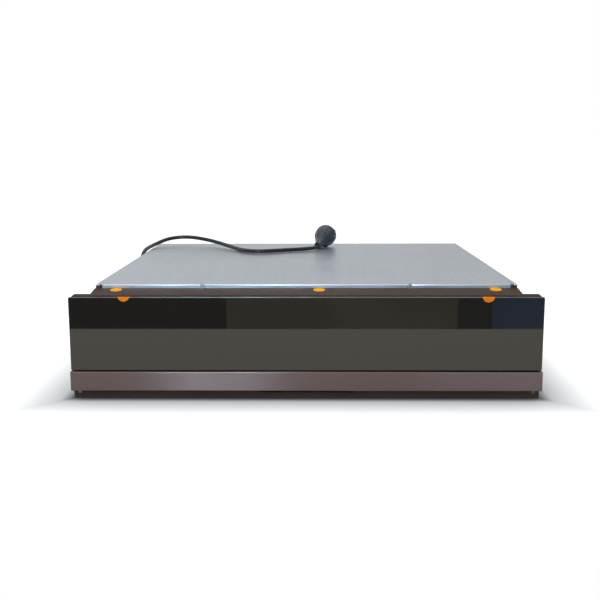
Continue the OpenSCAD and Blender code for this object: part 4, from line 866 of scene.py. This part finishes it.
def digit(text, size):
    """A numeral as a closed shape of PRINT_T thickness on z = 0, centred."""
    curve = bpy.data.curves.new("numeral", "FONT")
    curve.body, curve.size, curve.extrude, curve.resolution_u = text, size, PRINT_T / 2, 3
    curve.align_x, curve.align_y = "CENTER", "CENTER"
    holder = bpy.data.objects.new("numeral", curve)
    work = bmesh.new()
    work.from_mesh(holder.to_mesh())
    holder.to_mesh_clear()
    bpy.data.objects.remove(holder)
    bpy.data.curves.remove(curve)
    bmesh.ops.remove_doubles(work, verts=work.verts, dist=1e-4)
    work.verts.ensure_lookup_table()
    verts = [v.co + Vector((0, 0, PRINT_T / 2)) for v in work.verts]
    faces = [tuple(v.index for v in f.verts) for f in work.faces]
    work.free()
    return verts, faces


def printed(name, body, shape):
    verts, faces = shape
    paint(add_shape(name, ([v * MM for v in verts], faces), body, 0), PRINT_WHITE)


def mark_knob():
    """Numerals, ticks and a pointer line on the knob, and its index mark on the panel."""
    joint = joints["knob_turn"]
    x, y, panel_z = (c / MM for c in joint["pos_m"])
    low, high = box_mm("thermostat_knob")
    radius = (high.x - low.x) / 2

    def turned(shape, share):
        """A shape where it comes to the index mark after a share of the knob's range."""
        angle = math.radians(-joint["axis"][2] * joint["range_deg"][1] * share)
        return placed(shape, Matrix.Rotation(angle, 4, "Z"))

    tick = bar(0.2, -radius * 0.70, -radius * 0.56, 0, PRINT_T)
    shapes = [bar(0.45, 2.3 - radius, -5, -POINTER_DEPTH, 0.1 - POINTER_DEPTH)]
    for k in range(1, NUMERALS + 1):
        numeral = placed(digit(str(k), NUMERAL_SIZE), Matrix.Translation((0, -radius * 0.62, 0)))
        shapes += [turned(numeral, k / NUMERALS), turned(tick, (k - 0.5) / NUMERALS)]
    printed("knob_numerals", "knob", placed(joined(shapes), Matrix.Translation((x, y, high.z + PRINT_GAP))))
    index = prism([(-1.3, -radius - 2.9), (1.3, -radius - 2.9), (0, -radius - 0.7)], PRINT_GAP, PRINT_T)
    printed("knob_index", "drawer", placed(index, Matrix.Translation((x, y, panel_z))))


def mark_rocker():
    """A bar and a ring on the two ends of the rocker switch."""
    joint = joints["rocker_tilt"]
    move = (Matrix.Translation(Vector(joint["pos_m"]) / MM)
            @ Matrix.Rotation(math.radians(-joint["range_deg"][1] / 2), 4, "Y"))
    top = ROCKER_TOP + PRINT_T
    line = placed(bar(0.35, -1.7, 1.7, ROCKER_TOP, top), Matrix.Translation((-MARK_X, 0, 0)))
    circled = placed(ring(1.15, 1.75, ROCKER_TOP, top, 28), Matrix.Translation((MARK_X, 0, 0)))
    printed("rocker_marks", "rocker", placed(joined([line, circled]), move))


def screw_collars():
    """Turned collars round the heads of the two screws in the cover's front fold, made dark: painted shade for the
    shadowed ring round each head.
    """
    front = box_mm("top_cover")[0].y
    outline = [(0, 0), (0, 3.15), (0.4, 3.15), (0.9, 2.95), (1.2, 2.62), (1.2, 0)]
    for name, x in (("screw_shade_collar_left", -FOLD_SCREW_X), ("screw_shade_collar_right", FOLD_SCREW_X)):
        collar = lathe(outline, 40, mm(x, front, FOLD_SCREW_Z), (0, -1, 0))
        paint(add_shape(name, collar, "case", 50), SCREW_SHADE_STEEL)


mark_knob()
mark_rocker()
screw_collars()


# ---------------------------------------------------------------- floor, world and light
TABLE_FRONT = -0.7135                        # the pale table ends here, which the glass mirrors as a line
TABLE_SIDE, TABLE_BACK = 9.0, 14.0
PAINTED_SHADOW_X, PAINTED_SHADOW_Y = 0.301, 0.262              # half sides of the painted shadow: a dark patch painted on the floor under the object
PAINTED_SHADOW_EDGE = (-0.006, 0.012)                 # the painted shadow fades between these distances outside them
# colour of the painted shadow on the floor under the object
PAINTED_SHADOW_TONE = (0.08, 0.08, 0.08)
GLOW_START = 0.09                            # the floor shines fully from this far outside the painted shadow; nearer, its glow fades out, which is painted shade too
FLOOR_GLOW, FLOOR_MIRROR = 0.75, 0.30        # to the camera, and in mirrors
WORLD_LIGHT, MIRROR_SKY, MIRROR_ROOM = 0.55, 0.62, 0.10
HORIZON_SHARP, HORIZON_LEVEL = 12.0, 0.6
SKY_TILT = 0.18                              # how much brighter mirrors find the sky on the left
CARD_Y, CARD_LOW, CARD_HIGH = -1.0, -0.6, 0.03
WINDOW_COLOUR = (0.56, 0.80, 1.0)
WINDOWS = (("window_left", -0.375, 0.15, 52), ("window_right", -0.20, 0.11, 52),
           ("window_far", 0.66, 0.50, 7))    # name, x, width, and watts for each metre of width


def set_stage(name, corners):
    """One flat face that isn't part of the object."""
    mesh = bpy.data.meshes.new(name)
    mesh.from_pydata(corners, [], [(0, 1, 2, 3)])
    thing = bpy.data.objects.new(name, mesh)
    scene.collection.objects.link(thing)
    return thing


def make_floor():
    """A pale table that shines a little to the camera and to mirrors, with a painted shadow under the object: a
    dark patch, and a glow that fades out near it.
    """
    floor = set_stage("floor", [(-TABLE_SIDE, TABLE_FRONT, 0), (TABLE_SIDE, TABLE_FRONT, 0),
                                (TABLE_SIDE, TABLE_BACK, 0), (-TABLE_SIDE, TABLE_BACK, 0)])
    s = Shader("floor", rough=0.9, specular=0.1)
    s.bsdf.inputs["Emission Color"].default_value = (1, 1, 1, 1)
    tone = s.ramp(s.noise(0.4, 2), (0.54, 0.54, 0.54), (0.56, 0.56, 0.56))
    s.roughness(s.noise(0.05, 2), 0.85, 0.95)
    path = s.node("ShaderNodeLightPath").outputs
    place = s.node("ShaderNodeSeparateXYZ")
    s.link(s.place, place.inputs[0])
    away = s.math("MAXIMUM", *(s.math("SUBTRACT", s.math("ABSOLUTE", place.outputs[axis]), half)
                               for axis, half in (("X", PAINTED_SHADOW_X), ("Y", PAINTED_SHADOW_Y))))
    # painted shade: the floor's glow, to the camera and to mirrors, fades out towards the object
    clear = s.between(away, 0, 1, 0, GLOW_START)
    # painted shadow: the floor's colour goes dark under and just round the object
    s.colour(s.mix(s.between(away, 0, 1, *PAINTED_SHADOW_EDGE), PAINTED_SHADOW_TONE, tone))
    seen = s.math("MULTIPLY", path["Is Camera Ray"], s.math("MULTIPLY", clear, FLOOR_GLOW))
    mirror = s.math("MAXIMUM", path["Is Glossy Ray"], path["Is Transmission Ray"])
    mirrored = s.math("MULTIPLY", mirror, s.math("MULTIPLY", clear, FLOOR_MIRROR))
    s.link(s.math("ADD", seen, mirrored), s.bsdf.inputs["Emission Strength"])
    paint(floor, s.material)


def make_world():
    """White to the camera; to mirrors bright above the horizon and dim below it, like a room."""
    world = bpy.data.worlds.new("world")
    scene.world = world
    world.use_nodes = True
    tree = world.node_tree
    background = tree.nodes["Background"]
    path = tree.nodes.new("ShaderNodeLightPath").outputs
    place = tree.nodes.new("ShaderNodeTexCoord")
    parts = tree.nodes.new("ShaderNodeSeparateXYZ")
    tree.links.new(place.outputs["Generated"], parts.inputs[0])

    def calc(*values, **how):
        return math_node(tree, *values, **how)

    above = calc("ADD", calc("MULTIPLY", parts.outputs["Z"], HORIZON_SHARP), HORIZON_LEVEL, clamp=True)
    sky = calc("ADD", calc("MULTIPLY", parts.outputs["X"], -SKY_TILT), MIRROR_SKY - MIRROR_ROOM)
    mirrored = calc("ADD", calc("MULTIPLY", above, sky), MIRROR_ROOM)
    mirror = calc("MAXIMUM", path["Is Glossy Ray"], path["Is Transmission Ray"])
    extra = calc("MULTIPLY", mirror, calc("SUBTRACT", mirrored, WORLD_LIGHT))
    strength = calc("MAXIMUM", calc("ADD", extra, WORLD_LIGHT), path["Is Camera Ray"])
    background.inputs["Color"].default_value = (1, 1, 1, 1)
    tree.links.new(strength, background.inputs["Strength"])


def room_card(name, left, right, colour):
    """A dim wall beyond the table's front edge, which only mirrors show: the glass is not evenly dark."""
    card = set_stage(name, [(left, CARD_Y, CARD_LOW), (left, CARD_Y, CARD_HIGH),
                            (right, CARD_Y, CARD_HIGH), (right, CARD_Y, CARD_LOW)])
    card.visible_camera = card.visible_diffuse = card.visible_shadow = False
    s = Shader(name, rough=1.0, specular=0.0)
    s.bsdf.inputs["Base Color"].default_value = (0, 0, 0, 1)
    s.bsdf.inputs["Emission Strength"].default_value = 1.0
    s.link(s.shades(s.noise(0.25, 2), colour, 0.8, 1.2, 0.35, 0.65), s.bsdf.inputs["Emission Color"])
    paint(card, s.material)


def area(name, at, aim, size, power, colour=(1, 1, 1)):
    lamp = bpy.data.lights.new(name, "AREA")
    lamp.shape = "RECTANGLE"
    lamp.size, lamp.size_y = size
    lamp.energy = power
    lamp.color = colour
    thing = bpy.data.objects.new(name, lamp)
    thing.location = at
    thing.rotation_mode = "QUATERNION"
    thing.rotation_quaternion = (Vector(aim) - Vector(at)).to_track_quat("-Z", "Y")
    scene.collection.objects.link(thing)


make_floor()
make_world()
room_card("room_middle", -0.171, 0.312, (0.30, 0.29, 0.26))
room_card("room_right", 0.384, 0.56, (0.16, 0.25, 0.47))
area("key", (-0.9, -1.1, 2.3), (0, 0, 0), (3.4, 2.4), 22)
area("top", (0.3, 0.6, 2.4), (0, 0, 0), (3.2, 2.6), 14)
for window, x, wide, power in WINDOWS:
    area(window, (x, -1.95, 0.75), (x + 0.2, -0.27, 0.1), (wide, 0.9), power * wide, WINDOW_COLOUR)
